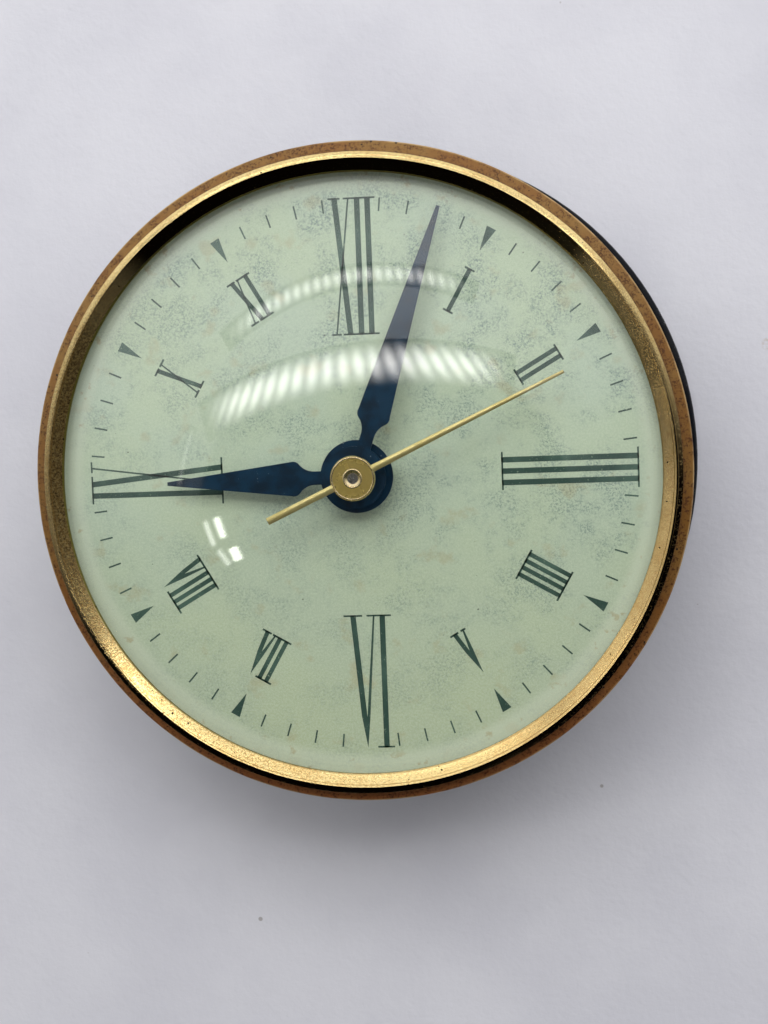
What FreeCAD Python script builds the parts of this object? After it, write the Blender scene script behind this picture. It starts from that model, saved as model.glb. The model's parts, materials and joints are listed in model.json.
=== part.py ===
import FreeCAD, Part
import math
import os
import Sketcher

# Synchronous electric clock of the round pattern that drops into a mantel case.
# The axis of the hands is +Z, the dial faces +Z and twelve o'clock is +Y.
# The clock lies on the rolled rear rim of its case, which is at Z = 0. Millimetres.

os.makedirs("parts", exist_ok=True)
doc = FreeCAD.newDocument("MantelClock")
sheet = doc.addObject("Spreadsheet::Sheet", "Sizes")

driving = [
    # case
    ("caseWall", 0.8), ("landCorner", 1.2), ("landGap", 0.3),
    ("drumFlare", 3.35), ("rimBead", 1.45), ("rimFoot", 1.0), ("neckHeight", 7.0),
    # bezel, its outer flange ring and the glass
    ("beadRadius", 1.05), ("coveWidth", 2.1), ("coveRise", 1.5), ("coveHollow", 10.0),
    ("bezelWall", 0.5), ("bezelSkirt", 5.2),
    ("flangeWidth", 2.15), ("flangeWall", 0.5), ("flangeEdgeRise", 0.95), ("flangeTopRise", 2.75),
    ("flangeSkirt", 1.6), ("flangeTube", 3.0), ("flangeRound", 0.3),
    ("glassCurve", 100.0), ("glassWall", 1.2), ("glassEdgeGap", 0.25), ("glassEdgeRise", 0.26),
    ("gasketWidth", 1.6),
    # dial
    ("dialWall", 0.5), ("dialHole", 3.2),
    # clearances: pressed fit, turning fit, seat and open space
    ("fitGap", 0.02), ("runGap", 0.05), ("seatGap", 0.03), ("freeGap", 0.35),
    # depth of the case: clear space behind the motor, motor, train and motion work
    ("backSpace", 2.8), ("motorSpace", 5.8), ("trainClear", 0.75), ("motionClear", 0.3),
    # movement plates, and the studs that carry them behind the dial
    ("plateWall", 1.2), ("plateRadius", 31.5), ("windowRadius", 5.0), ("windowInset", 9.0),
    ("windowTurn", 45.0),
    ("studCount", 3), ("studTurn", 30.0), ("studInset", 4.5), ("studShoulder", 2.2), ("studShank", 1.5),
    ("studTail", 0.6), ("nutAcross", 5.0), ("nutHeight", 2.0),
    # rear cover, its posts and screws
    ("coverHeight", 5.8), ("coverWall", 0.8), ("coverLip", 3.0),
    ("postCount", 3), ("postTurn", 30.0), ("postGap", 2.33), ("postRadius", 2.6),
    ("coverScrewHead", 3.0), ("coverScrewRise", 1.5), ("coverScrewShank", 1.2), ("coverScrewLength", 7.0),
    ("slotWidth", 0.9), ("slotDepth", 0.7),
    ("ventCount", 5), ("ventLength", 14.0), ("ventWidth", 2.4), ("ventPitch", 5.2), ("ventReach", 24.0),
    # rubber grommet of the cord inlet
    ("cordTurn", -45.0), ("cordReach", 37.0), ("cordBore", 3.1), ("grommetNeck", 4.6),
    ("grommetFlange", 6.4), ("grommetCollar", 5.6), ("grommetWall", 1.6),
    # field magnet, coil and sealed motor capsule
    ("coreStack", 6.0), ("poleHalfHeight", 12.5),
    ("poleGap", 2.2), ("limbWidth", 5.5), ("yokeWidth", 6.0), ("windowDepth", 8.0),
    ("shadeOffset", 6.0), ("shadeSlot", 1.6), ("shadeWidth", 2.0), ("shadeGap", 0.1),
    ("shadeClear", 0.3), ("limbGap", 0.8),
    ("capsuleCup", 8.0), ("capsuleCase", 11.5), ("capsuleProud", 2.2), ("capsuleNose", 2.6),
    ("capsuleRound", 1.0), ("noseRise", 1.0), ("shaftSink", 1.8),
    ("coreScrewInset", 2.7), ("coreScrewEdge", 4.4), ("coreScrewShank", 1.25), ("coreScrewHead", 2.4),
    ("coreScrewRise", 1.4), ("coreSpacer", 2.2),
    ("bobbinWall", 0.7), ("cheekSink", 0.35), ("windingBuild", 2.9), ("windingRound", 2.5),
    ("coilSpace", 0.44),
    ("terminalWidth", 1.6), ("terminalWall", 0.4), ("terminalLength", 4.0), ("terminalSpread", 6.0),
    # tooth numbers and modules
    ("rotorModule", 0.7), ("rotorTeeth", 10), ("secondsTeeth", 36),
    ("thirdModule", 0.5), ("secondsLeaves", 8), ("thirdTeeth", 60),
    ("thirdLeaves", 8), ("centreTeeth", 64),
    ("cannonModule", 0.5), ("cannonTeeth", 12), ("minuteTeeth", 36), ("setTeeth", 12),
    ("minuteLeaves", 10), ("hourTeeth", 40),
    ("wheelAddendum", 1.0), ("leafAddendum", 0.8), ("rootClearance", 0.25), ("backlash", 0.12),
    # wheels: thickness, height over their plate, and place round the axis
    ("wheelWall", 0.8), ("pinionWall", 2.0), ("wheelHub", 2.6), ("hubDrop", 0.4), ("wheelWindows", 5),
    ("secondsLevel", 0.8), ("thirdLevel", 2.8), ("centreLevel", 5.6), ("minuteLevel", 1.2),
    ("hourLevel", 3.2), ("rotorTurn", 90.0), ("thirdTurn", -30.0), ("minuteTurn", 225.0),
    # arbors, tubes and bushes
    ("secondsArbor", 0.8), ("pivotRadius", 0.5), ("minuteTube", 1.4), ("hourTube", 2.0),
    ("arborRadius", 0.9), ("setArbor", 1.25), ("bushRadius", 2.4), ("bushRise", 0.5),
    ("pivotEnd", 0.2), ("clutchSpring", 0.15),
    ("collarRadius", 3.0), ("collarWall", 0.6), ("tubeShow", 0.4), ("studFlange", 1.8), ("flangeDisc", 0.4),
    # hands
    ("hourRise", 4.0), ("minuteSpace", 0.75), ("secondsSpace", 0.55), ("handWall", 0.35),
    ("secondsWall", 0.3), ("hourAngle", 269.5), ("minuteAngle", 18.85), ("secondsAngle", 65.1),
    ("hourHub", 5.7), ("hourStem", 1.05), ("hourShoulder", 2.68), ("hourShort", 16.9), ("hourDroop", 0.8),
    ("minuteHub", 4.8), ("minuteStem", 1.05), ("minuteShoulder", 2.52), ("minuteShort", 3.6),
    ("minuteDroop", 3.5), ("stemEnd", 6.7), ("flareEnd", 9.0), ("shoulderLine", 10.3), ("flareShare", 0.83),
    ("flareRound", 3.0), ("shoulderRound", 1.2), ("handTip", 0.28),
    ("secondsHub", 3.43), ("secondsShort", 11.3), ("secondsTail", 14.8), ("secondsRoot", 0.57),
    ("secondsTip", 0.26), ("secondsDroop", 3.9), ("secondsRim", 0.45), ("funnelRadius", 1.35),
    ("funnelDepth", 0.5), ("colletWall", 0.7), ("colletDrop", 0.9), ("secondsCollet", 2.2),
    ("arborShow", 0.25),
    # hand-setting knob
    ("knobRadius", 6.5), ("knobHeight", 4.2), ("knobGap", 0.6), ("knobBevel", 0.7), ("knobFlutes", 24),
    ("fluteRadius", 0.45), ("knobSkin", 1.4),
]


# A size is a number that also carries its spreadsheet formula, so that one
# piece of arithmetic gives a feature both its value and its binding.
class Size:
    def __init__(self, value, formula):
        self.value = float(value)
        self.formula = formula

    def __add__(self, other):
        other = asSize(other)
        return Size(self.value + other.value, "(" + self.formula + " + " + other.formula + ")")

    def __sub__(self, other):
        other = asSize(other)
        return Size(self.value - other.value, "(" + self.formula + " - " + other.formula + ")")

    def __mul__(self, other):
        other = asSize(other)
        return Size(self.value * other.value, "(" + self.formula + " * " + other.formula + ")")

    def __truediv__(self, other):
        other = asSize(other)
        return Size(self.value / other.value, "(" + self.formula + " / " + other.formula + ")")

    def __neg__(self):
        return Size(-self.value, "(0 - " + self.formula + ")")

    def __radd__(self, other):
        return asSize(other) + self

    def __rsub__(self, other):
        return asSize(other) - self

    def __rmul__(self, other):
        return asSize(other) * self

    def __rtruediv__(self, other):
        return asSize(other) / self


def asSize(number):
    if isinstance(number, Size):
        return number
    return Size(number, repr(float(number)))


def root(size):
    return Size(math.sqrt(size.value), "sqrt(" + size.formula + ")")


def sineOf(degrees):
    return Size(math.sin(math.radians(degrees.value)), "sin(" + degrees.formula + ")")


def cosineOf(degrees):
    return Size(math.cos(math.radians(degrees.value)), "cos(" + degrees.formula + ")")


class Sizes:
    pass


dim = Sizes()
for row, (name, value) in enumerate(driving, start=1):
    sheet.set("A" + str(row), name)
    sheet.set("B" + str(row), str(value))
    sheet.setAlias("B" + str(row), name)
    setattr(dim, name, Size(value, "Sizes." + name))
doc.recompute()


# ---- helpers: binding, sketches and features ----

def bind(thing, place, size):
    thing.setExpression(place, asSize(size).formula)


def newBody(label):
    body = doc.addObject("PartDesign::Body", label)
    body.Label = label
    body.AllowCompound = True
    return body


def originPart(body, role):
    for feature in body.Origin.OriginFeatures:
        if feature.Role == role:
            return feature
    raise ValueError(role)


# Every vertex of an outline is held by two bound distances from the sketch's
# origin, and every round edge by its bound radius. A point is (x, y) for a
# straight edge that leads to it, or (x, y, radius, side) for an arc, where
# side is +1 if the arc's centre lies to the left of the way from start to end.
# The ends of a half circle already give its radius, so its centre is held on
# their line instead, which is level in every such outline here.
def addOutline(sketch, points):
    count = len(points)
    lines = []
    for index in range(count):
        start = points[index - 1]
        end = points[index]
        first = FreeCAD.Vector(asSize(start[0]).value, asSize(start[1]).value, 0)
        last = FreeCAD.Vector(asSize(end[0]).value, asSize(end[1]).value, 0)
        if len(end) == 2:
            geometry = Part.LineSegment(first, last)
            backward = False
        else:
            radius = asSize(end[2]).value
            side = end[3]
            way = last - first
            half = way.Length / 2
            lift = math.sqrt(max(radius * radius - half * half, 0.0))
            normal = FreeCAD.Vector(-way.y, way.x, 0).normalize()
            centre = first + way * 0.5 + normal * (lift * side)
            circle = Part.Circle(centre, FreeCAD.Vector(0, 0, 1), radius)
            startAngle = math.atan2(first.y - centre.y, first.x - centre.x)
            endAngle = math.atan2(last.y - centre.y, last.x - centre.x)
            backward = side < 0
            if backward:
                startAngle, endAngle = endAngle, startAngle
            geometry = Part.ArcOfCircle(circle, startAngle, endAngle)
        lines.append((sketch.addGeometry(geometry, False), backward))
    for index in range(count):
        line, backward = lines[index]
        follower, followerReversed = lines[(index + 1) % count]
        endPoint = 1 if backward else 2
        startPoint = 2 if followerReversed else 1
        sketch.addConstraint(Sketcher.Constraint("Coincident", line, endPoint, follower, startPoint))
        holdPoint(sketch, line, endPoint, points[index][0], "X")
        holdPoint(sketch, line, endPoint, points[index][1], "Y")
        if len(points[index]) > 2:
            radius = asSize(points[index][2])
            chord = points[index - 1]
            if abs(math.dist(flatPoint(chord), flatPoint(points[index])) - 2 * radius.value) < 1e-7:
                holdPoint(sketch, line, 3, chord[1], "Y")
                continue
            bound = sketch.addConstraint(Sketcher.Constraint("Radius", line, radius.value))
            sketch.setExpression("Constraints[" + str(bound) + "]", radius.formula)


def flatPoint(point):
    return asSize(point[0]).value, asSize(point[1]).value


def holdPoint(sketch, line, point, place, direction):
    place = asSize(place)
    if abs(place.value) < 1e-9:
        axis = -2 if direction == "X" else -1
        sketch.addConstraint(Sketcher.Constraint("PointOnObject", line, point, axis))
        return
    # a negative place is measured from the point back to the origin
    if place.value > 0:
        kind = Sketcher.Constraint("Distance" + direction, -1, 1, line, point, place.value)
        formula = place.formula
    else:
        kind = Sketcher.Constraint("Distance" + direction, line, point, -1, 1, -place.value)
        formula = (-place).formula
    bound = sketch.addConstraint(kind)
    sketch.setExpression("Constraints[" + str(bound) + "]", formula)


def addCircle(sketch, x, y, radius):
    x, y, radius = asSize(x), asSize(y), asSize(radius)
    centre = FreeCAD.Vector(x.value, y.value, 0)
    circle = sketch.addGeometry(Part.Circle(centre, FreeCAD.Vector(0, 0, 1), radius.value), False)
    holdPoint(sketch, circle, 3, x, "X")
    holdPoint(sketch, circle, 3, y, "Y")
    bound = sketch.addConstraint(Sketcher.Constraint("Radius", circle, radius.value))
    sketch.setExpression("Constraints[" + str(bound) + "]", radius.formula)


def newSketch(body, role, name, offset=None, sideways=None):
    sketch = body.newObject("Sketcher::SketchObject", name)
    sketch.AttachmentSupport = [(originPart(body, role), "")]
    sketch.MapMode = "FlatFace"
    if offset is not None:
        bind(sketch, "AttachmentOffset.Base.z", offset)
    if sideways is not None:
        bind(sketch, "AttachmentOffset.Base.x", sideways)
    return sketch


def addRevolution(body, points, name, kind="PartDesign::Revolution", sideways=None):
    sketch = newSketch(body, "XZ_Plane", name + "Profile", None, sideways)
    addOutline(sketch, points)
    feature = body.newObject(kind, name)
    feature.Profile = sketch
    feature.ReferenceAxis = (sketch, ["V_Axis"])
    feature.Angle = 360.0
    return feature


def addPad(body, draw, low, high, name):
    sketch = newSketch(body, "XY_Plane", name + "Outline", low)
    draw(sketch)
    pad = body.newObject("PartDesign::Pad", name)
    pad.Profile = sketch
    bind(pad, "Length", asSize(high) - low)
    return pad


def addPocket(body, draw, low, high, name):
    sketch = newSketch(body, "XY_Plane", name + "Outline", high)
    draw(sketch)
    pocket = body.newObject("PartDesign::Pocket", name)
    pocket.Profile = sketch
    bind(pocket, "Length", asSize(high) - low)
    return pocket


def repeatAround(body, features, count, name):
    pattern = body.newObject("PartDesign::PolarPattern", name)
    pattern.Originals = features
    pattern.Axis = (originPart(body, "Z_Axis"), [""])
    pattern.Angle = 360.0
    if isinstance(count, Size):
        bind(pattern, "Occurrences", count)
    else:
        pattern.Occurrences = count
    body.Tip = pattern
    return pattern


def turnBody(body, degrees):
    turn = FreeCAD.Rotation(FreeCAD.Vector(0, 0, 1), degrees.value)
    body.Placement = FreeCAD.Placement(FreeCAD.Vector(), turn)
    bind(body, "Placement.Rotation.Angle", degrees)
    return body


def moveBody(body, x, y):
    bind(body, "Placement.Base.x", x)
    bind(body, "Placement.Base.y", y)
    return body


def ring(inner, outer, low, high):
    return [(inner, low), (outer, low), (outer, high), (inner, high)]


def tube(label, inner, outer, low, high):
    body = newBody(label)
    addRevolution(body, ring(inner, outer, low, high), label + "Turned")
    return body


# ---- places that several pieces share ----

coverOutside = dim.coverHeight
coverInside = coverOutside + dim.coverWall

# a pinion stands out alike on both sides of its wheel
pinionOver = (dim.pinionWall - dim.wheelWall) / 2
trainSpace = dim.centreLevel + dim.wheelWall + dim.runGap + dim.collarWall + dim.trainClear
motionSpace = dim.minuteLevel - pinionOver + 2 * dim.pinionWall + dim.pivotEnd + dim.motionClear

# the case is as deep as the works that it holds, one behind the other
capsuleEnd = coverInside + dim.backSpace
coreLow = capsuleEnd + dim.capsuleProud
coreTop = coreLow + dim.coreStack
rearPlateBack = coreTop + dim.motorSpace
rearPlateFace = rearPlateBack + dim.plateWall
frontPlateBack = rearPlateFace + trainSpace
frontPlateFace = frontPlateBack + dim.plateWall
caseInside = frontPlateFace + motionSpace
dialBack = caseInside + dim.caseWall
dialFace = dialBack + dim.dialWall

# gear centres: each pair's centre distance sets the module of the pair that shares its arbors
rotorReach = dim.rotorModule * (dim.rotorTeeth + dim.secondsTeeth) / 2
thirdReach = dim.thirdModule * (dim.secondsLeaves + dim.thirdTeeth) / 2
centreModule = 2 * thirdReach / (dim.thirdLeaves + dim.centreTeeth)
minuteReach = dim.cannonModule * (dim.cannonTeeth + dim.minuteTeeth) / 2
hourModule = 2 * minuteReach / (dim.minuteLeaves + dim.hourTeeth)
setReach = minuteReach + dim.cannonModule * (dim.minuteTeeth + dim.setTeeth) / 2

rotorX = rotorReach * cosineOf(dim.rotorTurn)
rotorY = rotorReach * sineOf(dim.rotorTurn)
thirdX = thirdReach * cosineOf(dim.thirdTurn)
thirdY = thirdReach * sineOf(dim.thirdTurn)
minuteX = minuteReach * cosineOf(dim.minuteTurn)
minuteY = minuteReach * sineOf(dim.minuteTurn)
setX = setReach * cosineOf(dim.minuteTurn)
setY = setReach * sineOf(dim.minuteTurn)
cordX = dim.cordReach * cosineOf(dim.cordTurn)
cordY = dim.cordReach * sineOf(dim.cordTurn)

# field magnet: the shading rings stand clear of the motor capsule, the limbs clear of the
# rings, and the bobbin is wound round the yoke that joins the limbs
poleLow = rotorReach - dim.poleHalfHeight
poleHigh = rotorReach + dim.poleHalfHeight
shadeStrap = dim.shadeSlot - 2 * dim.shadeGap
shadeNear = dim.shadeOffset - shadeStrap / 2
shadeStart = root(dim.capsuleCase * dim.capsuleCase - shadeNear * shadeNear) + dim.shadeClear
shadeEnd = shadeStart + dim.shadeWidth + dim.shadeGap
limbInside = shadeEnd + dim.shadeGap + dim.limbGap
poleHalfWidth = limbInside + dim.limbWidth
yokeLow = poleHigh + dim.windowDepth
yokeHigh = yokeLow + dim.yokeWidth
bobbinHole = dim.seatGap
bobbinTube = dim.seatGap + dim.bobbinWall
windingOut = bobbinTube + dim.windingBuild
cheekOut = windingOut + dim.cheekSink
bobbinHalf = limbInside - dim.fitGap

# the case is as wide as the corners of the coil need, and the bezel grips the case
caseBore = root((yokeHigh + cheekOut) * (yokeHigh + cheekOut) + bobbinHalf * bobbinHalf) + dim.coilSpace
landRadius = caseBore + dim.caseWall
skirtInner = landRadius + dim.fitGap
skirtOuter = skirtInner + dim.bezelWall
crestRadius = skirtOuter - dim.beadRadius
lipRadius = crestRadius - dim.coveWidth
skirtEnd = dialFace - dim.bezelSkirt
flangeRadius = skirtOuter + dim.flangeWidth
rimNeck = skirtOuter + dim.drumFlare
rimRadius = rimNeck + 2 * dim.rimBead
neckInside = rimNeck - dim.caseWall

# the plates' studs and windows keep to the plates' edge, the cover's posts to the drum's wall
studReach = dim.plateRadius - dim.studInset
windowReach = dim.plateRadius - dim.windowInset
postReach = caseBore - dim.postRadius - dim.postGap

# the glass stands by its edge over the dial, and the bezel's lip bears on it
glassRadius = skirtInner - dim.glassEdgeGap
glassInner = dim.glassCurve - dim.glassWall
glassCentre = dialFace + dim.glassEdgeRise - root(glassInner * glassInner - glassRadius * glassRadius)


def onSphere(curve, reach):
    return glassCentre + root(curve * curve - reach * reach)


lipUnder = onSphere(dim.glassCurve, lipRadius) + dim.seatGap
lipTop = lipUnder + dim.bezelWall
crestTop = lipTop + dim.coveRise

# heights of the wheels
secondsWheelLow = rearPlateFace + dim.secondsLevel
thirdWheelLow = rearPlateFace + dim.thirdLevel
centreWheelLow = rearPlateFace + dim.centreLevel
minuteWheelLow = frontPlateFace + dim.minuteLevel
hourWheelLow = frontPlateFace + dim.hourLevel
motionPinionLow = minuteWheelLow - pinionOver
motionPinionHigh = motionPinionLow + dim.pinionWall


# ---- bezel, flange ring, glass, gasket and dial ----

def makeBezel():
    body = newBody("bezel")
    beadLine = crestTop - dim.beadRadius
    innerBead = dim.beadRadius - dim.bezelWall
    # the bead turns a third of a circle over its crest before the cove begins
    third = asSize(60)
    inner = (crestRadius - innerBead * cosineOf(third), beadLine + innerBead * sineOf(third))
    outer = (crestRadius - dim.beadRadius * cosineOf(third), beadLine + dim.beadRadius * sineOf(third))
    addRevolution(body, [
        (lipRadius, lipUnder),
        (inner[0], inner[1], dim.coveHollow + dim.bezelWall, 1),
        (skirtInner, beadLine, innerBead, -1),
        (skirtInner, skirtEnd),
        (skirtOuter, skirtEnd),
        (skirtOuter, beadLine),
        (outer[0], outer[1], dim.beadRadius, 1),
        (lipRadius, lipTop, dim.coveHollow, -1),
    ], "BezelSection")
    return body


def makeFlangeRing():
    body = newBody("flange_ring")
    tubeInner = skirtOuter + dim.fitGap
    tubeOuter = tubeInner + dim.flangeWall
    skirtInside = flangeRadius - dim.flangeWall
    slope = (dim.flangeTopRise - dim.flangeEdgeRise) / (flangeRadius - tubeInner)
    # the sheet's thickness, measured straight down through the sloping band
    sheetDrop = dim.flangeWall * root(slope * slope + 1)
    edgeTop = dialFace + dim.flangeEdgeRise
    ease = dim.flangeRound
    addRevolution(body, [
        (tubeInner, dialFace - dim.flangeTube),
        (tubeOuter, dialFace - dim.flangeTube),
        (tubeOuter, edgeTop + slope * (flangeRadius - tubeOuter) - sheetDrop),
        (skirtInside, edgeTop + slope * dim.flangeWall - sheetDrop),
        (skirtInside, dialFace - dim.flangeSkirt),
        (flangeRadius, dialFace - dim.flangeSkirt),
        (flangeRadius, edgeTop - ease),
        (flangeRadius - ease, edgeTop + slope * ease, 2 * ease, 1),
        (tubeInner, dialFace + dim.flangeTopRise),
    ], "FlangeSection")
    return body


def makeGlass():
    body = newBody("glass")
    addRevolution(body, [
        (0, glassCentre + glassInner),
        (glassRadius, onSphere(glassInner, glassRadius), glassInner, -1),
        (glassRadius, onSphere(dim.glassCurve, glassRadius)),
        (0, glassCentre + dim.glassCurve, dim.glassCurve, 1),
    ], "GlassDome")
    return body


def makeGasket():
    body = newBody("glass_gasket")
    inner = glassRadius - dim.gasketWidth
    under = glassInner - dim.seatGap
    addRevolution(body, [
        (inner, dialFace),
        (glassRadius, dialFace),
        (glassRadius, onSphere(under, glassRadius)),
        (inner, onSphere(under, inner), under, 1),
    ], "GasketWedge")
    return body


def makeDial():
    return tube("dial", dim.dialHole, glassRadius, dialBack, dialFace)


# ---- case drum: a deep-drawn cup whose closed end carries the dial ----

def makeCaseDrum():
    body = newBody("case_drum")
    wall = dim.caseWall
    landEnd = skirtEnd - dim.landGap
    shoulder = skirtOuter
    corner = dim.landCorner
    bead = dim.rimBead
    footOuter = rimNeck + bead + dim.rimFoot / 2
    addRevolution(body, [
        (dim.dialHole, dialBack),
        (dim.dialHole, caseInside),
        (caseBore - corner, caseInside),
        (caseBore, caseInside - corner, corner, -1),
        (caseBore, landEnd - wall),
        (shoulder - wall, landEnd - 2 * wall),
        (neckInside, dim.neckHeight),
        (neckInside, 0.5 * wall),
        (rimNeck, 0, wall, 1),
        (footOuter, 0),
        (rimRadius, bead, bead, 1),
        (footOuter, 2 * bead, bead, 1),
        (rimNeck, 2 * bead),
        (rimNeck, dim.neckHeight),
        (shoulder, landEnd - wall),
        (landRadius, landEnd),
        (landRadius, dialBack - corner),
        (landRadius - corner, dialBack, corner, 1),
    ], "DrumSection")
    return body


# ---- rear cover with its posts, screws and cord grommet ----

def makeRearCover():
    body = newBody("rear_cover")
    outer = neckInside - dim.freeGap
    lipEnd = coverOutside - dim.coverLip
    wall = dim.coverWall
    addRevolution(body, [
        (0, coverOutside),
        (outer - wall, coverOutside),
        (outer - wall, lipEnd),
        (outer, lipEnd),
        (outer, coverInside - wall),
        (outer - wall, coverInside, wall, 1),
        (0, coverInside),
    ], "CoverPressing")

    def drawHoles(sketch):
        addCircle(sketch, setX, setY, dim.setArbor + dim.freeGap)
        addCircle(sketch, cordX, cordY, dim.grommetNeck + dim.fitGap)
        for index in range(int(dim.postCount.value)):
            turn = dim.postTurn + index * 360 / dim.postCount
            addCircle(sketch, postReach * cosineOf(turn), postReach * sineOf(turn),
                      dim.coverScrewShank + dim.runGap)

    def drawVents(sketch):
        half = dim.ventWidth / 2
        low = dim.ventReach - dim.ventLength / 2 + half
        high = dim.ventReach + dim.ventLength / 2 - half
        for index in range(int(dim.ventCount.value)):
            middle = dim.ventPitch * (index - (dim.ventCount - 1) / 2)
            addOutline(sketch, [
                (middle + half, high),
                (middle - half, high, half, 1),
                (middle - half, low),
                (middle + half, low, half, 1),
            ])

    addPocket(body, drawHoles, coverOutside, coverInside, "CoverHoles")
    addPocket(body, drawVents, coverOutside, coverInside, "CoverVents")
    return body


def makeCoverPosts():
    body = newBody("cover_posts")
    bore = dim.coverScrewShank + dim.runGap
    boreEnd = coverOutside + dim.coverScrewLength + dim.postRadius
    post = addRevolution(body, [
        (bore, coverInside),
        (dim.postRadius, coverInside),
        (dim.postRadius, caseInside),
        (0, caseInside),
        (0, boreEnd),
        (bore, boreEnd),
    ], "CoverPost", sideways=postReach)
    repeatAround(body, [post], dim.postCount, "CoverPostRing")
    return turnBody(body, dim.postTurn)


def makeCoverScrews():
    body = newBody("cover_screws")
    headEnd = coverOutside - dim.coverScrewRise
    screw = addRevolution(body, [
        (0, headEnd),
        (dim.coverScrewHead - dim.slotDepth / 2, headEnd),
        (dim.coverScrewHead, headEnd + dim.slotDepth / 2),
        (dim.coverScrewHead, coverOutside),
        (dim.coverScrewShank, coverOutside),
        (dim.coverScrewShank, coverOutside + dim.coverScrewLength),
        (0, coverOutside + dim.coverScrewLength),
    ], "CoverScrew", sideways=postReach)
    reach = dim.coverScrewHead + dim.runGap
    half = dim.slotWidth / 2

    def drawSlot(sketch):
        addOutline(sketch, [
            (postReach - reach, -half),
            (postReach + reach, -half),
            (postReach + reach, half),
            (postReach - reach, half),
        ])

    slot = addPocket(body, drawSlot, headEnd - dim.runGap, headEnd + dim.slotDepth, "CoverScrewSlot")
    repeatAround(body, [screw, slot], dim.postCount, "CoverScrewRing")
    return turnBody(body, dim.postTurn)


def makeGrommet():
    body = newBody("cord_grommet")
    wall = dim.grommetWall
    ease = wall / 4
    addRevolution(body, [
        (dim.cordBore, coverOutside - wall),
        (dim.grommetFlange - ease, coverOutside - wall),
        (dim.grommetFlange, coverOutside - wall + ease, ease, 1),
        (dim.grommetFlange, coverOutside),
        (dim.grommetNeck, coverOutside),
        (dim.grommetNeck, coverInside),
        (dim.grommetCollar, coverInside),
        (dim.grommetCollar, coverInside + wall),
        (dim.cordBore, coverInside + wall),
    ], "Grommet")
    return moveBody(body, cordX, cordY)


# ---- movement frame: studs, two plates, spacers, nuts and bushes ----

def makeCaseStuds():
    body = newBody("case_studs")
    tail = rearPlateBack - dim.nutHeight - dim.studTail
    stud = addRevolution(body, [
        (0, tail),
        (dim.studShank - dim.studTail / 2, tail),
        (dim.studShank, tail + dim.studTail / 2),
        (dim.studShank, frontPlateFace),
        (dim.studShoulder, frontPlateFace),
        (dim.studShoulder, caseInside),
        (0, caseInside),
    ], "CaseStud", sideways=studReach)
    repeatAround(body, [stud], dim.studCount, "CaseStudRing")
    return turnBody(body, dim.studTurn)


def makePlateSpacers():
    body = newBody("plate_spacers")
    spacer = addRevolution(
        body,
        ring(dim.studShank + dim.runGap, dim.studShoulder, rearPlateFace, frontPlateBack),
        "PlateSpacer", sideways=studReach)
    repeatAround(body, [spacer], dim.studCount, "PlateSpacerRing")
    return turnBody(body, dim.studTurn)


def drawHexagon(sketch, x, y, across):
    corner = asSize(across) / root(asSize(3))
    points = []
    for index in range(6):
        turn = asSize(60 * index)
        points.append((x + corner * cosineOf(turn), y + corner * sineOf(turn)))
    addOutline(sketch, points)


def makePlateNuts():
    body = newBody("plate_nuts")

    def drawNut(sketch):
        drawHexagon(sketch, studReach, asSize(0), dim.nutAcross)
        addCircle(sketch, studReach, 0, dim.studShank)

    nut = addPad(body, drawNut, rearPlateBack - dim.nutHeight, rearPlateBack, "PlateNut")
    repeatAround(body, [nut], dim.studCount, "PlateNutRing")
    return turnBody(body, dim.studTurn)


def drawPlateDisc(sketch):
    addCircle(sketch, 0, 0, dim.plateRadius)


# the holes that both plates share: the studs' and those of the bushes on common axes
def drawBushHoles(sketch):
    addCircle(sketch, 0, 0, dim.bushRadius)
    addCircle(sketch, setX, setY, dim.bushRadius)
    addCircle(sketch, thirdX, thirdY, dim.arborRadius + dim.pivotRadius)
    for index in range(int(dim.studCount.value)):
        turn = dim.studTurn + index * 360 / dim.studCount
        x, y = studReach * cosineOf(turn), studReach * sineOf(turn)
        addCircle(sketch, x, y, dim.studShank + dim.runGap)


def makeFrontPlate():
    body = newBody("front_plate")
    addPad(body, drawPlateDisc, frontPlateBack, frontPlateFace, "FrontDisc")

    def drawHoles(sketch):
        drawBushHoles(sketch)
        addCircle(sketch, minuteX, minuteY, dim.arborRadius)

    def drawWindows(sketch):
        for side in (1, 3):
            turn = dim.rotorTurn + side * dim.windowTurn
            addCircle(sketch, windowReach * cosineOf(turn), windowReach * sineOf(turn), dim.windowRadius)
        addCircle(sketch, rotorX, rotorY, dim.windowRadius)

    addPocket(body, drawHoles, frontPlateBack, frontPlateFace, "FrontHoles")
    addPocket(body, drawWindows, frontPlateBack, frontPlateFace, "FrontWindows")
    return body


def makeRearPlate():
    body = newBody("rear_plate")
    addPad(body, drawPlateDisc, rearPlateBack, rearPlateFace, "RearDisc")

    def drawHoles(sketch):
        drawBushHoles(sketch)
        addCircle(sketch, rotorX, rotorY, dim.capsuleNose + dim.fitGap)
        for side in (1, -1):
            x, y = fieldPlace(side * coreScrewReach, coreScrewLine)
            addCircle(sketch, x, y, dim.coreScrewShank)

    addPocket(body, drawHoles, rearPlateBack, rearPlateFace, "RearHoles")
    return body


# a place given in the field magnet's own axes, whose second axis runs out through the motor
def fieldPlace(across, out):
    along = dim.rotorTurn - 90
    x = across * cosineOf(along) - out * sineOf(along)
    y = across * sineOf(along) + out * cosineOf(along)
    return x, y


def makeBush(label, shaft, outer, x, y, low, high):
    body = tube(label, shaft + dim.runGap, outer, low, high)
    return moveBody(body, x, y)


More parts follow.
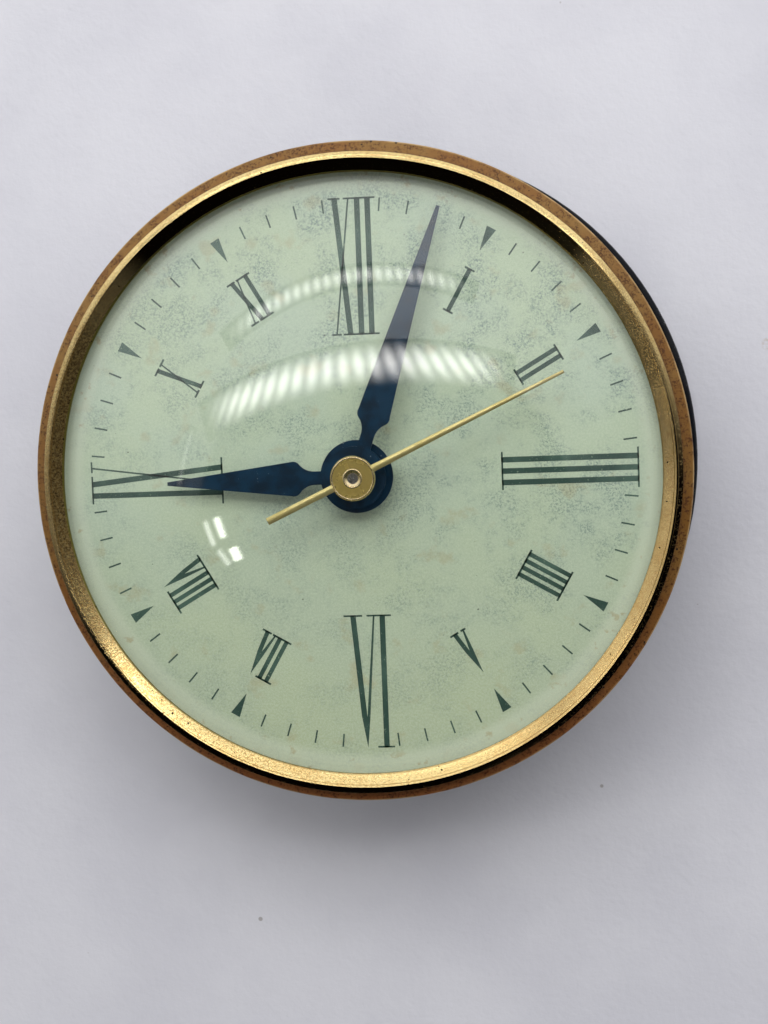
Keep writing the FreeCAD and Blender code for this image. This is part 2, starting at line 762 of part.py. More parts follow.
def makeBushes():
    rearLow = rearPlateBack - dim.bushRise
    frontHigh = frontPlateFace + dim.bushRise
    pivotBush = dim.arborRadius + dim.pivotRadius
    return [
        makeBush("centre_front_bush", dim.minuteTube, dim.bushRadius, 0, 0, frontPlateBack, frontHigh),
        makeBush("centre_rear_bush", dim.pivotRadius, dim.bushRadius, 0, 0, rearLow, rearPlateFace),
        makeBush("third_front_bush", dim.pivotRadius, pivotBush, thirdX, thirdY, frontPlateBack, frontHigh),
        makeBush("third_rear_bush", dim.pivotRadius, pivotBush, thirdX, thirdY, rearLow, rearPlateFace),
        makeBush("set_front_bush", dim.setArbor, dim.bushRadius, setX, setY, frontPlateBack, frontHigh),
        makeBush("set_rear_bush", dim.setArbor, dim.bushRadius, setX, setY, rearLow, rearPlateFace),
    ]


def makeMinuteStud():
    body = newBody("minute_stud")
    top = motionPinionHigh + dim.pinionWall + dim.pivotEnd
    flangeTop = frontPlateFace + dim.flangeDisc
    addRevolution(body, [
        (0, frontPlateBack),
        (dim.arborRadius, frontPlateBack),
        (dim.arborRadius, frontPlateFace),
        (dim.studFlange, frontPlateFace),
        (dim.studFlange, flangeTop),
        (dim.arborRadius, flangeTop),
        (dim.arborRadius, top),
        (0, top),
    ], "MinuteStud")
    return moveBody(body, minuteX, minuteY)


# ---- field magnet, shading rings, coil and motor capsule ----

boreRadius = dim.capsuleCup + dim.freeGap
coreScrewReach = poleHalfWidth - dim.coreScrewInset
coreScrewLine = poleLow + dim.coreScrewEdge


def makeFieldCore():
    body = newBody("field_core")
    gap = dim.poleGap / 2
    wide = poleHalfWidth
    reach = root(boreRadius * boreRadius - gap * gap)

    def drawCore(sketch):
        addOutline(sketch, [
            (gap, poleLow),
            (wide, poleLow),
            (wide, yokeHigh),
            (-wide, yokeHigh),
            (-wide, poleLow),
            (-gap, poleLow),
            (-gap, rotorReach - reach),
            (-gap, rotorReach + reach, boreRadius, -1),
            (-gap, poleHigh),
            (-limbInside, poleHigh),
            (-limbInside, yokeLow),
            (limbInside, yokeLow),
            (limbInside, poleHigh),
            (gap, poleHigh),
            (gap, rotorReach + reach),
            (gap, rotorReach - reach, boreRadius, -1),
        ])

    def drawSlots(sketch):
        half = dim.shadeSlot / 2
        for side in (1, -1):
            middle = rotorReach + side * dim.shadeOffset
            inner = side * (dim.shadeOffset - dim.shadeSlot)
            outer = side * shadeEnd
            points = [
                (inner, middle - half),
                (outer, middle - half),
                (outer, middle + half),
                (inner, middle + half),
            ]
            addOutline(sketch, points)

    def drawHoles(sketch):
        for side in (1, -1):
            addCircle(sketch, side * coreScrewReach, coreScrewLine, dim.coreScrewShank + dim.runGap)

    addPad(body, drawCore, coreLow, coreTop, "CoreStack")
    addPocket(body, drawSlots, coreLow, coreTop, "ShadeSlots")
    addPocket(body, drawHoles, coreLow, coreTop, "CoreHoles")
    return turnBody(body, dim.rotorTurn - 90)


def addLoop(body, name, across, high, acrossInner, highInner, start, length):
    # a square loop in the plane across the yoke, given by its two opposite corners
    sketch = newSketch(body, "YZ_Plane", name + "Loop", start)
    for y, z in ((across, high), (acrossInner, highInner)):
        addOutline(sketch, [(y[0], z[0]), (y[1], z[0]), (y[1], z[1]), (y[0], z[1])])
    pad = body.newObject("PartDesign::Pad", name)
    pad.Profile = sketch
    bind(pad, "Length", length)
    return pad


def makeShadingRings():
    body = newBody("shading_rings")
    gap = dim.shadeGap
    half = shadeStrap / 2
    high = (coreLow - gap - shadeStrap, coreTop + gap + shadeStrap)
    highInner = (coreLow - gap, coreTop + gap)
    for side, name in ((1, "ShadeRingOne"), (-1, "ShadeRingTwo")):
        slot = rotorReach + side * dim.shadeOffset
        edge = rotorReach + side * dim.poleHalfHeight
        near = slot - side * half
        far = edge + side * (gap + shadeStrap)
        nearInner = slot + side * half
        farInner = edge + side * gap
        start = shadeStart
        if side < 0:
            start = -shadeStart - dim.shadeWidth
        addLoop(body, name, (near, far), high, (nearInner, farInner), highInner, start, dim.shadeWidth)
    return turnBody(body, dim.rotorTurn - 90)


def aroundYoke(margin):
    return (yokeLow - margin, yokeHigh + margin), (coreLow - margin, coreTop + margin)


def makeCoilBobbin():
    body = newBody("coil_bobbin")
    hole = aroundYoke(bobbinHole)
    barrel = aroundYoke(bobbinTube)
    cheek = aroundYoke(cheekOut)
    wall = dim.bobbinWall
    addLoop(body, "BobbinBarrel", barrel[0], barrel[1], hole[0], hole[1], -bobbinHalf, 2 * bobbinHalf)
    addLoop(body, "BobbinCheekLeft", cheek[0], cheek[1], hole[0], hole[1], -bobbinHalf, wall)
    addLoop(body, "BobbinCheekRight", cheek[0], cheek[1], hole[0], hole[1], bobbinHalf - wall, wall)
    return turnBody(body, dim.rotorTurn - 90)


def makeCoilWinding():
    body = newBody("coil_winding")
    sketch = newSketch(body, "YZ_Plane", "WindingLoop", dim.bobbinWall - bobbinHalf)
    (low, high), (back, front) = aroundYoke(windingOut)
    bend = dim.windingRound
    addOutline(sketch, [
        (high - bend, back),
        (high, back + bend, bend, 1),
        (high, front - bend),
        (high - bend, front, bend, 1),
        (low + bend, front),
        (low, front - bend, bend, 1),
        (low, back + bend),
        (low + bend, back, bend, 1),
    ])
    (low, high), (back, front) = aroundYoke(bobbinTube)
    addOutline(sketch, [(low, back), (high, back), (high, front), (low, front)])
    pad = body.newObject("PartDesign::Pad", "Winding")
    pad.Profile = sketch
    bind(pad, "Length", 2 * (bobbinHalf - dim.bobbinWall))
    return turnBody(body, dim.rotorTurn - 90)


def makeCoilTerminals():
    body = newBody("coil_terminals")
    middle = (yokeLow + yokeHigh) / 2
    low = coreTop + cheekOut
    outer = bobbinHalf - (dim.bobbinWall - dim.terminalWall) / 2
    inner = outer - dim.terminalWall
    for side, name in ((1, "TerminalOne"), (-1, "TerminalTwo")):
        near = middle + side * (dim.terminalSpread - dim.terminalWidth) / 2
        far = middle + side * (dim.terminalSpread + dim.terminalWidth) / 2

        def drawTag(sketch):
            addOutline(sketch, [(inner, near), (outer, near), (outer, far), (inner, far)])

        addPad(body, drawTag, low, low + dim.terminalLength, name)
    return turnBody(body, dim.rotorTurn - 90)


def makeRotorCapsule():
    body = newBody("rotor_capsule")
    bend = dim.capsuleRound
    noseTop = rearPlateBack + dim.noseRise
    bore = dim.arborRadius + dim.runGap
    boreEnd = noseTop - dim.shaftSink - dim.pivotEnd
    addRevolution(body, [
        (0, capsuleEnd),
        (dim.capsuleCup - bend, capsuleEnd),
        (dim.capsuleCup, capsuleEnd + bend, bend, 1),
        (dim.capsuleCup, coreTop),
        (dim.capsuleCase - bend, coreTop),
        (dim.capsuleCase, coreTop + bend, bend, 1),
        (dim.capsuleCase, rearPlateBack - bend),
        (dim.capsuleCase - bend, rearPlateBack, bend, 1),
        (dim.capsuleNose, rearPlateBack),
        (dim.capsuleNose, noseTop),
        (bore, noseTop),
        (bore, boreEnd),
        (0, boreEnd),
    ], "Capsule")
    return moveBody(body, rotorX, rotorY)


def makeCoreSpacers():
    body = newBody("core_spacers")
    for side, name in ((1, "CoreSpacerOne"), (-1, "CoreSpacerTwo")):
        points = ring(dim.coreScrewShank + dim.runGap, dim.coreSpacer, coreTop, rearPlateBack)
        addTurnedPiece(body, points, name, side * coreScrewReach, coreScrewLine)
    return turnBody(body, dim.rotorTurn - 90)


def makeCoreScrews():
    body = newBody("core_screws")
    head = coreLow - dim.coreScrewRise
    ease = dim.coreScrewRise / 4
    for side, name in ((1, "CoreScrewOne"), (-1, "CoreScrewTwo")):
        points = [
            (0, head),
            (dim.coreScrewHead - ease, head),
            (dim.coreScrewHead, head + ease, ease, 1),
            (dim.coreScrewHead, coreLow),
            (dim.coreScrewShank, coreLow),
            (dim.coreScrewShank, rearPlateFace),
            (0, rearPlateFace),
        ]
        addTurnedPiece(body, points, name, side * coreScrewReach, coreScrewLine)
    return turnBody(body, dim.rotorTurn - 90)


# a turned piece whose axis stands away from the body's own axis, across by x and out by y
def addTurnedPiece(body, points, name, x, y):
    feature = addRevolution(body, points, name, sideways=x)
    # the section plane's own third axis points to -Y
    bind(feature.Profile[0], "AttachmentOffset.Base.z", -y)
    return feature


# ---- toothed wheels ----

# Clock teeth: flanks radial below the pitch circle, and above it an epicycloid
# rolled by a circle of half the mating wheel's pitch radius, so that a pair
# turns at a constant ratio with the backlash as its only play.
def toothPoints(teeth, mateTeeth, module):
    pitch = module * teeth / 2
    roller = module * mateTeeth / 4
    small = teeth < mateTeeth
    addendum = module * (dim.leafAddendum.value if small else dim.wheelAddendum.value)
    mateAddendum = module * (dim.wheelAddendum.value if small else dim.leafAddendum.value)
    rootRadius = pitch - mateAddendum - module * dim.rootClearance.value
    tipRadius = pitch + addendum
    reach = pitch + roller
    rolled = math.acos((reach ** 2 + roller ** 2 - tipRadius ** 2) / (2 * roller * reach))
    swung = rolled * roller / pitch
    tipX = reach * math.cos(swung) - roller * math.cos(swung + rolled)
    tipY = reach * math.sin(swung) - roller * math.sin(swung + rolled)
    lean = math.atan2(tipY, tipX)
    half = math.pi / (2 * teeth) - dim.backlash.value / (4 * pitch)
    points = []
    for tooth in range(teeth):
        middle = 2 * math.pi * tooth / teeth
        for radius, turn in (
            (rootRadius, -half), (pitch, -half), (tipRadius, lean - half),
            (tipRadius, half - lean), (pitch, half), (rootRadius, half),
        ):
            points.append((radius * math.cos(middle + turn), radius * math.sin(middle + turn)))
    return points, rootRadius


# where a gear's first tooth stands so that it falls in a gap of its mate: the
# mate's first tooth stands at mateTurn, and along is the way from mate to gear
def meshTurn(teeth, mateTeeth, mateTurn, along):
    return along + 180 - (mateTeeth / teeth) * (mateTurn - along) - 180 / teeth


# a plain cylinder, or a drill when it is given an overrun at both ends
def cylinder(radius, low, high, overrun=0.0):
    return Part.makeCylinder(radius, high - low + 2 * overrun, FreeCAD.Vector(0, 0, low - overrun))


# a wheel window's radius as a share of the width between hub and rim
windowShare = 0.42


def makeToothed(label, teeth, mateTeeth, module, low, thick, bore, place, turn, hub=None, windows=0):
    teeth = int(teeth.value)
    points, rootRadius = toothPoints(teeth, int(mateTeeth.value), module.value)
    corners = [FreeCAD.Vector(x, y, low.value) for x, y in points]
    outline = Part.makePolygon(corners + corners[:1])
    shape = Part.Face(outline).extrude(FreeCAD.Vector(0, 0, thick.value))
    if hub is not None:
        hubRadius, hubLow, hubHigh = (size.value for size in hub)
        shape = shape.fuse(cylinder(hubRadius, hubLow, hubHigh)).removeSplitter()
    # round windows lighten the wheel between its hub and its rim
    if windows:
        hubRadius = hub[0].value
        rim = rootRadius - dim.wheelWall.value
        middle = (rim + hubRadius) / 2
        for index in range(windows):
            angle = 2 * math.pi * index / windows
            window = cylinder(windowShare * (rim - hubRadius), low.value, (low + thick).value, thick.value)
            window.translate(FreeCAD.Vector(middle * math.cos(angle), middle * math.sin(angle), 0))
            shape = shape.cut(window)
    box = shape.BoundBox
    shape = shape.cut(cylinder(bore.value, box.ZMin, box.ZMax, thick.value))
    feature = doc.addObject("Part::Feature", label)
    feature.Label = label
    feature.Shape = shape.Solids[0]
    x, y = (asSize(size).value for size in place)
    feature.Placement = FreeCAD.Placement(
        FreeCAD.Vector(x, y, 0), FreeCAD.Rotation(FreeCAD.Vector(0, 0, 1), turn))
    return feature


def makeWheels():
    centre = (0, 0)
    windows = int(dim.wheelWindows.value)
    thirdAt = (thirdX, thirdY)
    minuteAt = (minuteX, minuteY)
    wheel = dim.wheelWall
    pinion = dim.pinionWall
    rotorMesh = meshTurn(dim.rotorTeeth.value, dim.secondsTeeth.value, 0, dim.rotorTurn.value)
    thirdMesh = meshTurn(dim.thirdTeeth.value, dim.secondsLeaves.value, 0, dim.thirdTurn.value)
    centreMesh = meshTurn(dim.centreTeeth.value, dim.thirdLeaves.value, 0, dim.thirdTurn.value + 180)
    minuteMesh = meshTurn(dim.minuteTeeth.value, dim.cannonTeeth.value, 0, dim.minuteTurn.value)
    setMesh = meshTurn(dim.setTeeth.value, dim.minuteTeeth.value, minuteMesh, dim.minuteTurn.value)
    hourMesh = meshTurn(dim.hourTeeth.value, dim.minuteLeaves.value, 0, dim.minuteTurn.value + 180)
    secondsHub = (dim.wheelHub, secondsWheelLow - dim.hubDrop, thirdWheelLow - pinionOver)
    thirdHub = (dim.wheelHub, thirdWheelLow - dim.hubDrop, centreWheelLow - pinionOver)
    minuteHub = (dim.wheelHub, frontPlateFace + dim.flangeDisc + dim.pivotEnd, motionPinionHigh)
    return [
        makeToothed("seconds_wheel", dim.secondsTeeth, dim.rotorTeeth, dim.rotorModule, secondsWheelLow,
                    wheel, dim.secondsArbor, centre, 0, secondsHub, windows),
        makeToothed("rotor_pinion", dim.rotorTeeth, dim.secondsTeeth, dim.rotorModule,
                    secondsWheelLow - pinionOver, pinion, dim.arborRadius, (rotorX, rotorY), rotorMesh),
        makeToothed("seconds_pinion", dim.secondsLeaves, dim.thirdTeeth, dim.thirdModule,
                    thirdWheelLow - pinionOver, pinion, dim.secondsArbor, centre, 0),
        makeToothed("third_wheel", dim.thirdTeeth, dim.secondsLeaves, dim.thirdModule, thirdWheelLow,
                    wheel, dim.arborRadius, thirdAt, thirdMesh, thirdHub, windows),
        makeToothed("third_pinion", dim.thirdLeaves, dim.centreTeeth, centreModule,
                    centreWheelLow - pinionOver, pinion, dim.arborRadius, thirdAt, 0),
        makeToothed("centre_wheel", dim.centreTeeth, dim.thirdLeaves, centreModule, centreWheelLow,
                    wheel, dim.minuteTube + dim.runGap, centre, centreMesh,
                    (dim.collarRadius + dim.runGap, centreWheelLow, centreWheelLow + wheel), windows),
        makeToothed("cannon_pinion", dim.cannonTeeth, dim.minuteTeeth, dim.cannonModule,
                    motionPinionLow, pinion, dim.minuteTube, centre, 0),
        makeToothed("minute_wheel", dim.minuteTeeth, dim.cannonTeeth, dim.cannonModule, minuteWheelLow,
                    wheel, dim.arborRadius + dim.runGap, minuteAt, minuteMesh, minuteHub, windows),
        makeToothed("minute_pinion", dim.minuteLeaves, dim.hourTeeth, hourModule,
                    motionPinionHigh, pinion, dim.arborRadius + dim.runGap, minuteAt, 0),
        makeToothed("set_pinion", dim.setTeeth, dim.minuteTeeth, dim.cannonModule,
                    motionPinionLow, pinion, dim.setArbor, (setX, setY), setMesh),
        makeToothed("hour_wheel", dim.hourTeeth, dim.minuteLeaves, hourModule, hourWheelLow,
                    wheel, dim.hourTube, centre, hourMesh,
                    (dim.collarRadius, hourWheelLow, hourWheelLow + wheel), windows),
    ]


# ---- arbors, tubes and the hand-setting friction clutch ----

def makeSecondsArbor():
    body = newBody("seconds_arbor")
    low = rearPlateBack - dim.bushRise - dim.pivotEnd
    pivotTop = rearPlateFace + dim.pivotEnd
    addRevolution(body, [
        (0, low),
        (dim.pivotRadius, low),
        (dim.pivotRadius, pivotTop),
        (dim.secondsArbor, pivotTop),
        (dim.secondsArbor, dialFace + secondsRise - dim.arborShow),
        (0, dialFace + secondsRise - dim.arborShow),
    ], "SecondsArbor")
    return body


def makeThirdArbor():
    body = newBody("third_arbor")
    low = rearPlateBack - dim.bushRise - dim.pivotEnd
    high = frontPlateFace + dim.bushRise + dim.pivotEnd
    rearShoulder = rearPlateFace + dim.pivotEnd
    frontShoulder = frontPlateBack - dim.pivotEnd
    addRevolution(body, [
        (0, low),
        (dim.pivotRadius, low),
        (dim.pivotRadius, rearShoulder),
        (dim.arborRadius, rearShoulder),
        (dim.arborRadius, frontShoulder),
        (dim.pivotRadius, frontShoulder),
        (dim.pivotRadius, high),
        (0, high),
    ], "ThirdArbor")
    return moveBody(body, thirdX, thirdY)


def makeRotorShaft():
    low = rearPlateBack + dim.noseRise - dim.shaftSink
    high = secondsWheelLow - pinionOver + dim.pinionWall + dim.pivotEnd
    body = tube("rotor_shaft", 0, dim.arborRadius, low, high)
    return moveBody(body, rotorX, rotorY)


# each hand stands clear of the tube and collet of the one below it
minuteRise = dim.hourRise + dim.handWall + dim.tubeShow + dim.colletDrop + dim.minuteSpace
secondsRise = (minuteRise + dim.handWall + dim.tubeShow + dim.secondsCollet + dim.secondsWall
               + dim.secondsSpace)
hourLength = lipRadius - dim.hourShort
minuteLength = lipRadius - dim.minuteShort
secondsLength = lipRadius - dim.secondsShort

clutchBack = centreWheelLow - dim.runGap - dim.clutchSpring
minuteTubeTop = dialFace + minuteRise + dim.handWall + dim.tubeShow
minuteTubeBore = dim.secondsArbor + dim.runGap


def makeMinuteTube():
    body = newBody("minute_tube")
    addRevolution(body, [
        (minuteTubeBore, clutchBack - dim.collarWall),
        (dim.collarRadius, clutchBack - dim.collarWall),
        (dim.collarRadius, clutchBack),
        (dim.minuteTube, clutchBack),
        (dim.minuteTube, minuteTubeTop),
        (minuteTubeBore, minuteTubeTop),
    ], "MinuteTube")
    return body


def makeClutch():
    wheelTop = centreWheelLow + dim.wheelWall + dim.runGap
    return [
        tube("clutch_spring", dim.minuteTube, dim.collarRadius, clutchBack, clutchBack + dim.clutchSpring),
        tube("clutch_collar", dim.minuteTube, dim.bushRadius, wheelTop, wheelTop + dim.collarWall),
    ]


def makeHourPipe():
    body = newBody("hour_pipe")
    bore = dim.minuteTube + dim.runGap
    top = dialFace + dim.hourRise + dim.handWall + dim.tubeShow
    low = hourWheelLow - dim.hubDrop
    addRevolution(body, [
        (bore, low),
        (dim.collarRadius, low),
        (dim.collarRadius, hourWheelLow),
        (dim.hourTube, hourWheelLow),
        (dim.hourTube, top),
        (bore, top),
    ], "HourPipe")
    return body


def makeSetShaft():
    body = newBody("set_shaft")
    low = coverOutside - dim.knobGap - dim.knobHeight + dim.knobSkin
    collarLow = rearPlateFace + dim.pivotEnd
    addRevolution(body, [
        (0, low),
        (dim.setArbor, low),
        (dim.setArbor, collarLow),
        (dim.bushRadius, collarLow),
        (dim.bushRadius, collarLow + dim.collarWall),
        (dim.setArbor, collarLow + dim.collarWall),
        (dim.setArbor, motionPinionHigh),
        (0, motionPinionHigh),
    ], "SetShaft")
    return moveBody(body, setX, setY)


def makeSetKnob():
    body = newBody("set_knob")
    high = coverOutside - dim.knobGap
    low = high - dim.knobHeight
    bevel = dim.knobBevel
    addRevolution(body, [
        (0, low),
        (dim.knobRadius - bevel, low),
        (dim.knobRadius, low + bevel),
        (dim.knobRadius, high),
        (dim.setArbor, high),
        (dim.setArbor, low + dim.knobSkin),
        (0, low + dim.knobSkin),
    ], "Knob")
    flute = addPocket(body, lambda sketch: addCircle(sketch, dim.knobRadius, 0, dim.fluteRadius),
                      low - dim.runGap, high + dim.runGap, "KnobFlute")
    repeatAround(body, [flute], dim.knobFlutes, "KnobFlutes")
    return moveBody(body, setX, setY)


# ---- hands ----

# A hand is cut out of thin sheet that droops towards its tip, so that it
# follows the glass. The sheet is a shallow dome round the axis: flat over
# the hub, then an arc that leaves it level.
def addDome(body, name, bore, flatEnd, reach, top, wall, droop):
    length = reach - flatEnd
    curve = (length * length + droop * droop) / (2 * droop)
    inner = curve - wall
    innerEnd = top - curve + root(inner * inner - length * length)
    addRevolution(body, [
        (bore, top - wall),
        (flatEnd, top - wall),
        (reach, innerEnd, inner, -1),
        (reach, top - droop),
        (flatEnd, top, curve, 1),
        (bore, top),
    ], name)


def cutOut(body, name, outline, reach, top, wall, droop):
    def draw(sketch):
        addCircle(sketch, 0, 0, reach + wall)
        addOutline(sketch, outline)

    addPocket(body, draw, top - droop - 2 * wall, top + wall, name)


# lance shape: a hub disc, a narrow stem that flares into shoulders, and a long taper to a blunt tip
def lanceOutline(hub, stem, shoulder, length):
    stemStart = root(hub * hub - stem * stem)
    flare = shoulder * dim.flareShare
    right = [
        (stem, dim.stemEnd),
        (flare, dim.flareEnd, dim.flareRound, -1),
        (shoulder, dim.shoulderLine, dim.shoulderRound, 1),
        (dim.handTip, length),
    ]
    left = [
        (-dim.handTip, length),
        (-shoulder, dim.shoulderLine),
        (-flare, dim.flareEnd, dim.shoulderRound, 1),
        (-stem, dim.stemEnd, dim.flareRound, -1),
        (-stem, stemStart),
        (0, -hub, hub, 1),
        (stem, stemStart, hub, 1),
    ]
    return right + left


def makeLanceHand(label, bore, hub, stem, shoulder, length, droop, rise, angle):
    body = newBody(label)
    top = dialFace + rise + dim.handWall
    reach = length + dim.handWall
    addDome(body, label.title().replace("_", "") + "Dome", bore, hub, reach, top, dim.handWall, droop)
    cutOut(body, label.title().replace("_", "") + "Outline", lanceOutline(hub, stem, shoulder, length),
           reach, top, dim.handWall, droop)
    return turnBody(body, -angle)


def makeHourHand():
    return makeLanceHand("hour_hand", dim.hourTube, dim.hourHub, dim.hourStem, dim.hourShoulder,
                         hourLength, dim.hourDroop, dim.hourRise, dim.hourAngle)


def makeMinuteHand():
    return makeLanceHand("minute_hand", dim.minuteTube, dim.minuteHub, dim.minuteStem, dim.minuteShoulder,
                         minuteLength, dim.minuteDroop, minuteRise, dim.minuteAngle)


def makeSecondsHand():
    body = newBody("seconds_hand")
    top = dialFace + secondsRise
    wall = dim.secondsWall
    reach = secondsLength + dim.handWall
    hub = dim.secondsHub
    half = dim.secondsRoot
    start = root(hub * hub - half * half)
    addDome(body, "SecondsDome", dim.secondsArbor, hub, reach, top, wall, dim.secondsDroop)
    cutOut(body, "SecondsOutline", [
        (dim.secondsTip, secondsLength),
        (-dim.secondsTip, secondsLength),
        (-half, start),
        (-half, -start, hub, 1),
        (-half, -dim.secondsTail),
        (half, -dim.secondsTail),
        (half, -start),
        (half, start, hub, 1),
    ], reach, top, wall, dim.secondsDroop)
    # the hub's edge is turned down, and its middle is drawn down into a collet on the arbor
    addRevolution(body, ring(hub - wall, hub, top - wall - dim.secondsRim, top - wall / 2), "SecondsRim")
    collet = dim.secondsArbor + dim.colletWall
    colletEnd = top - wall - dim.secondsCollet
    addRevolution(body, ring(dim.secondsArbor, collet, colletEnd, top - wall / 2), "SecondsCollet")
    addRevolution(body, [
        (0, top - dim.funnelDepth),
        (dim.secondsArbor, top - dim.funnelDepth),
        (dim.funnelRadius, top + dim.seatGap),
        (0, top + dim.seatGap),
    ], "SecondsFunnel", kind="PartDesign::Groove")
    return turnBody(body, -dim.secondsAngle)


def makeCollets():
    collets = []
    for label, pipe, rise in (
        ("hour_collet", dim.hourTube, dim.hourRise),
        ("minute_collet", dim.minuteTube, minuteRise),
    ):
        under = dialFace + rise
        collets.append(tube(label, pipe, pipe + dim.colletWall, under - dim.colletDrop, under))
    return collets


# ---- build, check and write ----

pieces = [
    makeBezel(), makeFlangeRing(), makeGlass(), makeGasket(), makeDial(), makeCaseDrum(),
    makeRearCover(), makeCoverPosts(), makeCoverScrews(), makeGrommet(),
    makeCaseStuds(), makePlateSpacers(), makePlateNuts(),
    makeFrontPlate(), makeRearPlate(), makeMinuteStud(),
    makeFieldCore(), makeShadingRings(), makeCoilBobbin(), makeCoilWinding(), makeCoilTerminals(),
    makeRotorCapsule(), makeCoreSpacers(), makeCoreScrews(),
    makeSecondsArbor(), makeThirdArbor(), makeRotorShaft(), makeMinuteTube(), makeHourPipe(),
    makeSetShaft(), makeSetKnob(), makeHourHand(), makeMinuteHand(), makeSecondsHand(),
]
pieces += makeBushes() + makeWheels() + makeClutch() + makeCollets()

doc.recompute()

for thing in doc.Objects:
    if "Invalid" in thing.State or "Error" in thing.State:
        raise RuntimeError(thing.Name + " has failed: " + str(thing.State))
for piece in pieces:
    if piece.Shape.isNull() or not piece.Shape.isValid():
        raise RuntimeError(piece.Label + " has no valid shape")
for piece in pieces:
    piece.Shape.exportStep(os.path.join("parts", piece.Label + ".step"))
    print(piece.Label, len(piece.Shape.Solids), "solids", round(piece.Shape.Volume, 2), "cubic mm")
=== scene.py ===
import json
import math

import bmesh
import bpy
from mathutils import Euler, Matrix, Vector


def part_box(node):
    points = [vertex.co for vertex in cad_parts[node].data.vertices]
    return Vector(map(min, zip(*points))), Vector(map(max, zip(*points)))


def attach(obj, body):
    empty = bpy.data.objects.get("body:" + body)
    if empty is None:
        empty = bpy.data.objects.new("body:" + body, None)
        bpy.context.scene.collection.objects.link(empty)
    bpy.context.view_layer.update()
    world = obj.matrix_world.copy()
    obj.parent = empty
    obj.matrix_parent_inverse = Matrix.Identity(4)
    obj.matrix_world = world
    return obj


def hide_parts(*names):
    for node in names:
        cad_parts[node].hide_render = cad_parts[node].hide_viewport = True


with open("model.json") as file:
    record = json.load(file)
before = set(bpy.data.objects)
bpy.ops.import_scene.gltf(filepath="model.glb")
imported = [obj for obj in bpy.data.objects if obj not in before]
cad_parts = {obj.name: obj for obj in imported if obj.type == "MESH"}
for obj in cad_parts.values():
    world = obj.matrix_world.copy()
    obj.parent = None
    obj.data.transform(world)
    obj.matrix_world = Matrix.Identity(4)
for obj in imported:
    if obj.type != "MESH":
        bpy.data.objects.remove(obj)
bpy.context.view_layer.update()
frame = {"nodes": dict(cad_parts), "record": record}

nodes = frame["nodes"]
mm = 0.001
print("clock frame loaded:", len(nodes), "nodes")


# an sRGB hex colour as the linear values that Blender wants
def linearColour(hexText):
    channels = [int(hexText[i:i + 2], 16) / 255 for i in (0, 2, 4)]
    return tuple(c / 12.92 if c <= 0.04045 else ((c + 0.055) / 1.055) ** 2.4 for c in channels) + (1.0,)


# gives a node's inputs a number, a hex colour, a socket, or another node's live output
def feed(tree, node, inputs):
    for name, value in inputs.items():
        if isinstance(value, bpy.types.Node):
            value = next(socket for socket in value.outputs if socket.enabled)
        if isinstance(value, bpy.types.NodeSocket):
            tree.links.new(value, node.inputs[name])
        elif isinstance(value, str):
            node.inputs[name].default_value = linearColour(value)
        else:
            node.inputs[name].default_value = value


def addNode(tree, kind, inputs, **settings):
    node = tree.nodes.new("ShaderNode" + kind)
    for name, value in settings.items():
        setattr(node, name, value)
    feed(tree, node, inputs)
    return node


# texture scale for features about this many millimetres across
def perMillimetre(size):
    return 1 / (size * mm)


# a new material with its shader and the object's own coordinates, in metres
def startMaterial(name, sockets):
    material = bpy.data.materials.new(name)
    material.use_nodes = True
    tree = material.node_tree
    shader = tree.nodes["Principled BSDF"]
    feed(tree, shader, sockets)
    place = addNode(tree, "TexCoord", {}).outputs["Object"]
    return material, tree, shader, place


# a mask of soft-edged clouds: size in millimetres, then where the mask starts and is full
def cloudMask(tree, place, size, low, high, detail=4.0, rough=0.6):
    cloud = addNode(tree, "TexNoise", {
        "Vector": place, "Scale": perMillimetre(size), "Detail": detail, "Roughness": rough,
    })
    return addNode(tree, "MapRange", {0: cloud, 1: low, 2: high}, interpolation_type="SMOOTHSTEP")


# a mask of round specks of mixed size: spacing and largest radius in millimetres
def speckMask(tree, place, spacing, radius):
    cells = addNode(tree, "TexVoronoi", {"Vector": place, "Scale": perMillimetre(spacing)})
    chance = addNode(tree, "SeparateColor", {0: cells.outputs["Color"]})
    limit = addNode(tree, "Math", {0: chance, 1: radius / spacing}, operation="MULTIPLY")
    inside = addNode(tree, "Math", {0: limit, 1: cells.outputs["Distance"]}, operation="SUBTRACT")
    return addNode(tree, "MapRange", {0: inside, 1: 0.0, 2: 0.25 * radius / spacing})


# how far a point lies from the axis of the hands
def axisReach(tree, place):
    flat = addNode(tree, "VectorMath", {0: place, 1: (1.0, 1.0, 0.0)}, operation="MULTIPLY")
    return addNode(tree, "VectorMath", {0: flat}, operation="LENGTH")


# a mask of the part of a ring that lies this way from the axis
def ringPart(tree, place, way, start, full):
    flat = addNode(tree, "VectorMath", {0: place, 1: (1.0, 1.0, 0.0)}, operation="MULTIPLY")
    unit = addNode(tree, "VectorMath", {0: flat}, operation="NORMALIZE")
    match = addNode(tree, "VectorMath", {0: unit, 1: way}, operation="DOT_PRODUCT")
    return addNode(tree, "MapRange", {0: match, 1: start, 2: full}, interpolation_type="SMOOTHSTEP")


# lays one colour over another by a mask, at most this strongly
def overlay(tree, mask, strength, under, over):
    share = addNode(tree, "Math", {0: mask, 1: strength}, operation="MULTIPLY")
    return addNode(tree, "Mix", {0: share, 6: under, 7: over}, data_type="RGBA")


# how far a round piece of the frame reaches from that axis
def outerReach(node):
    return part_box(node)[1].x


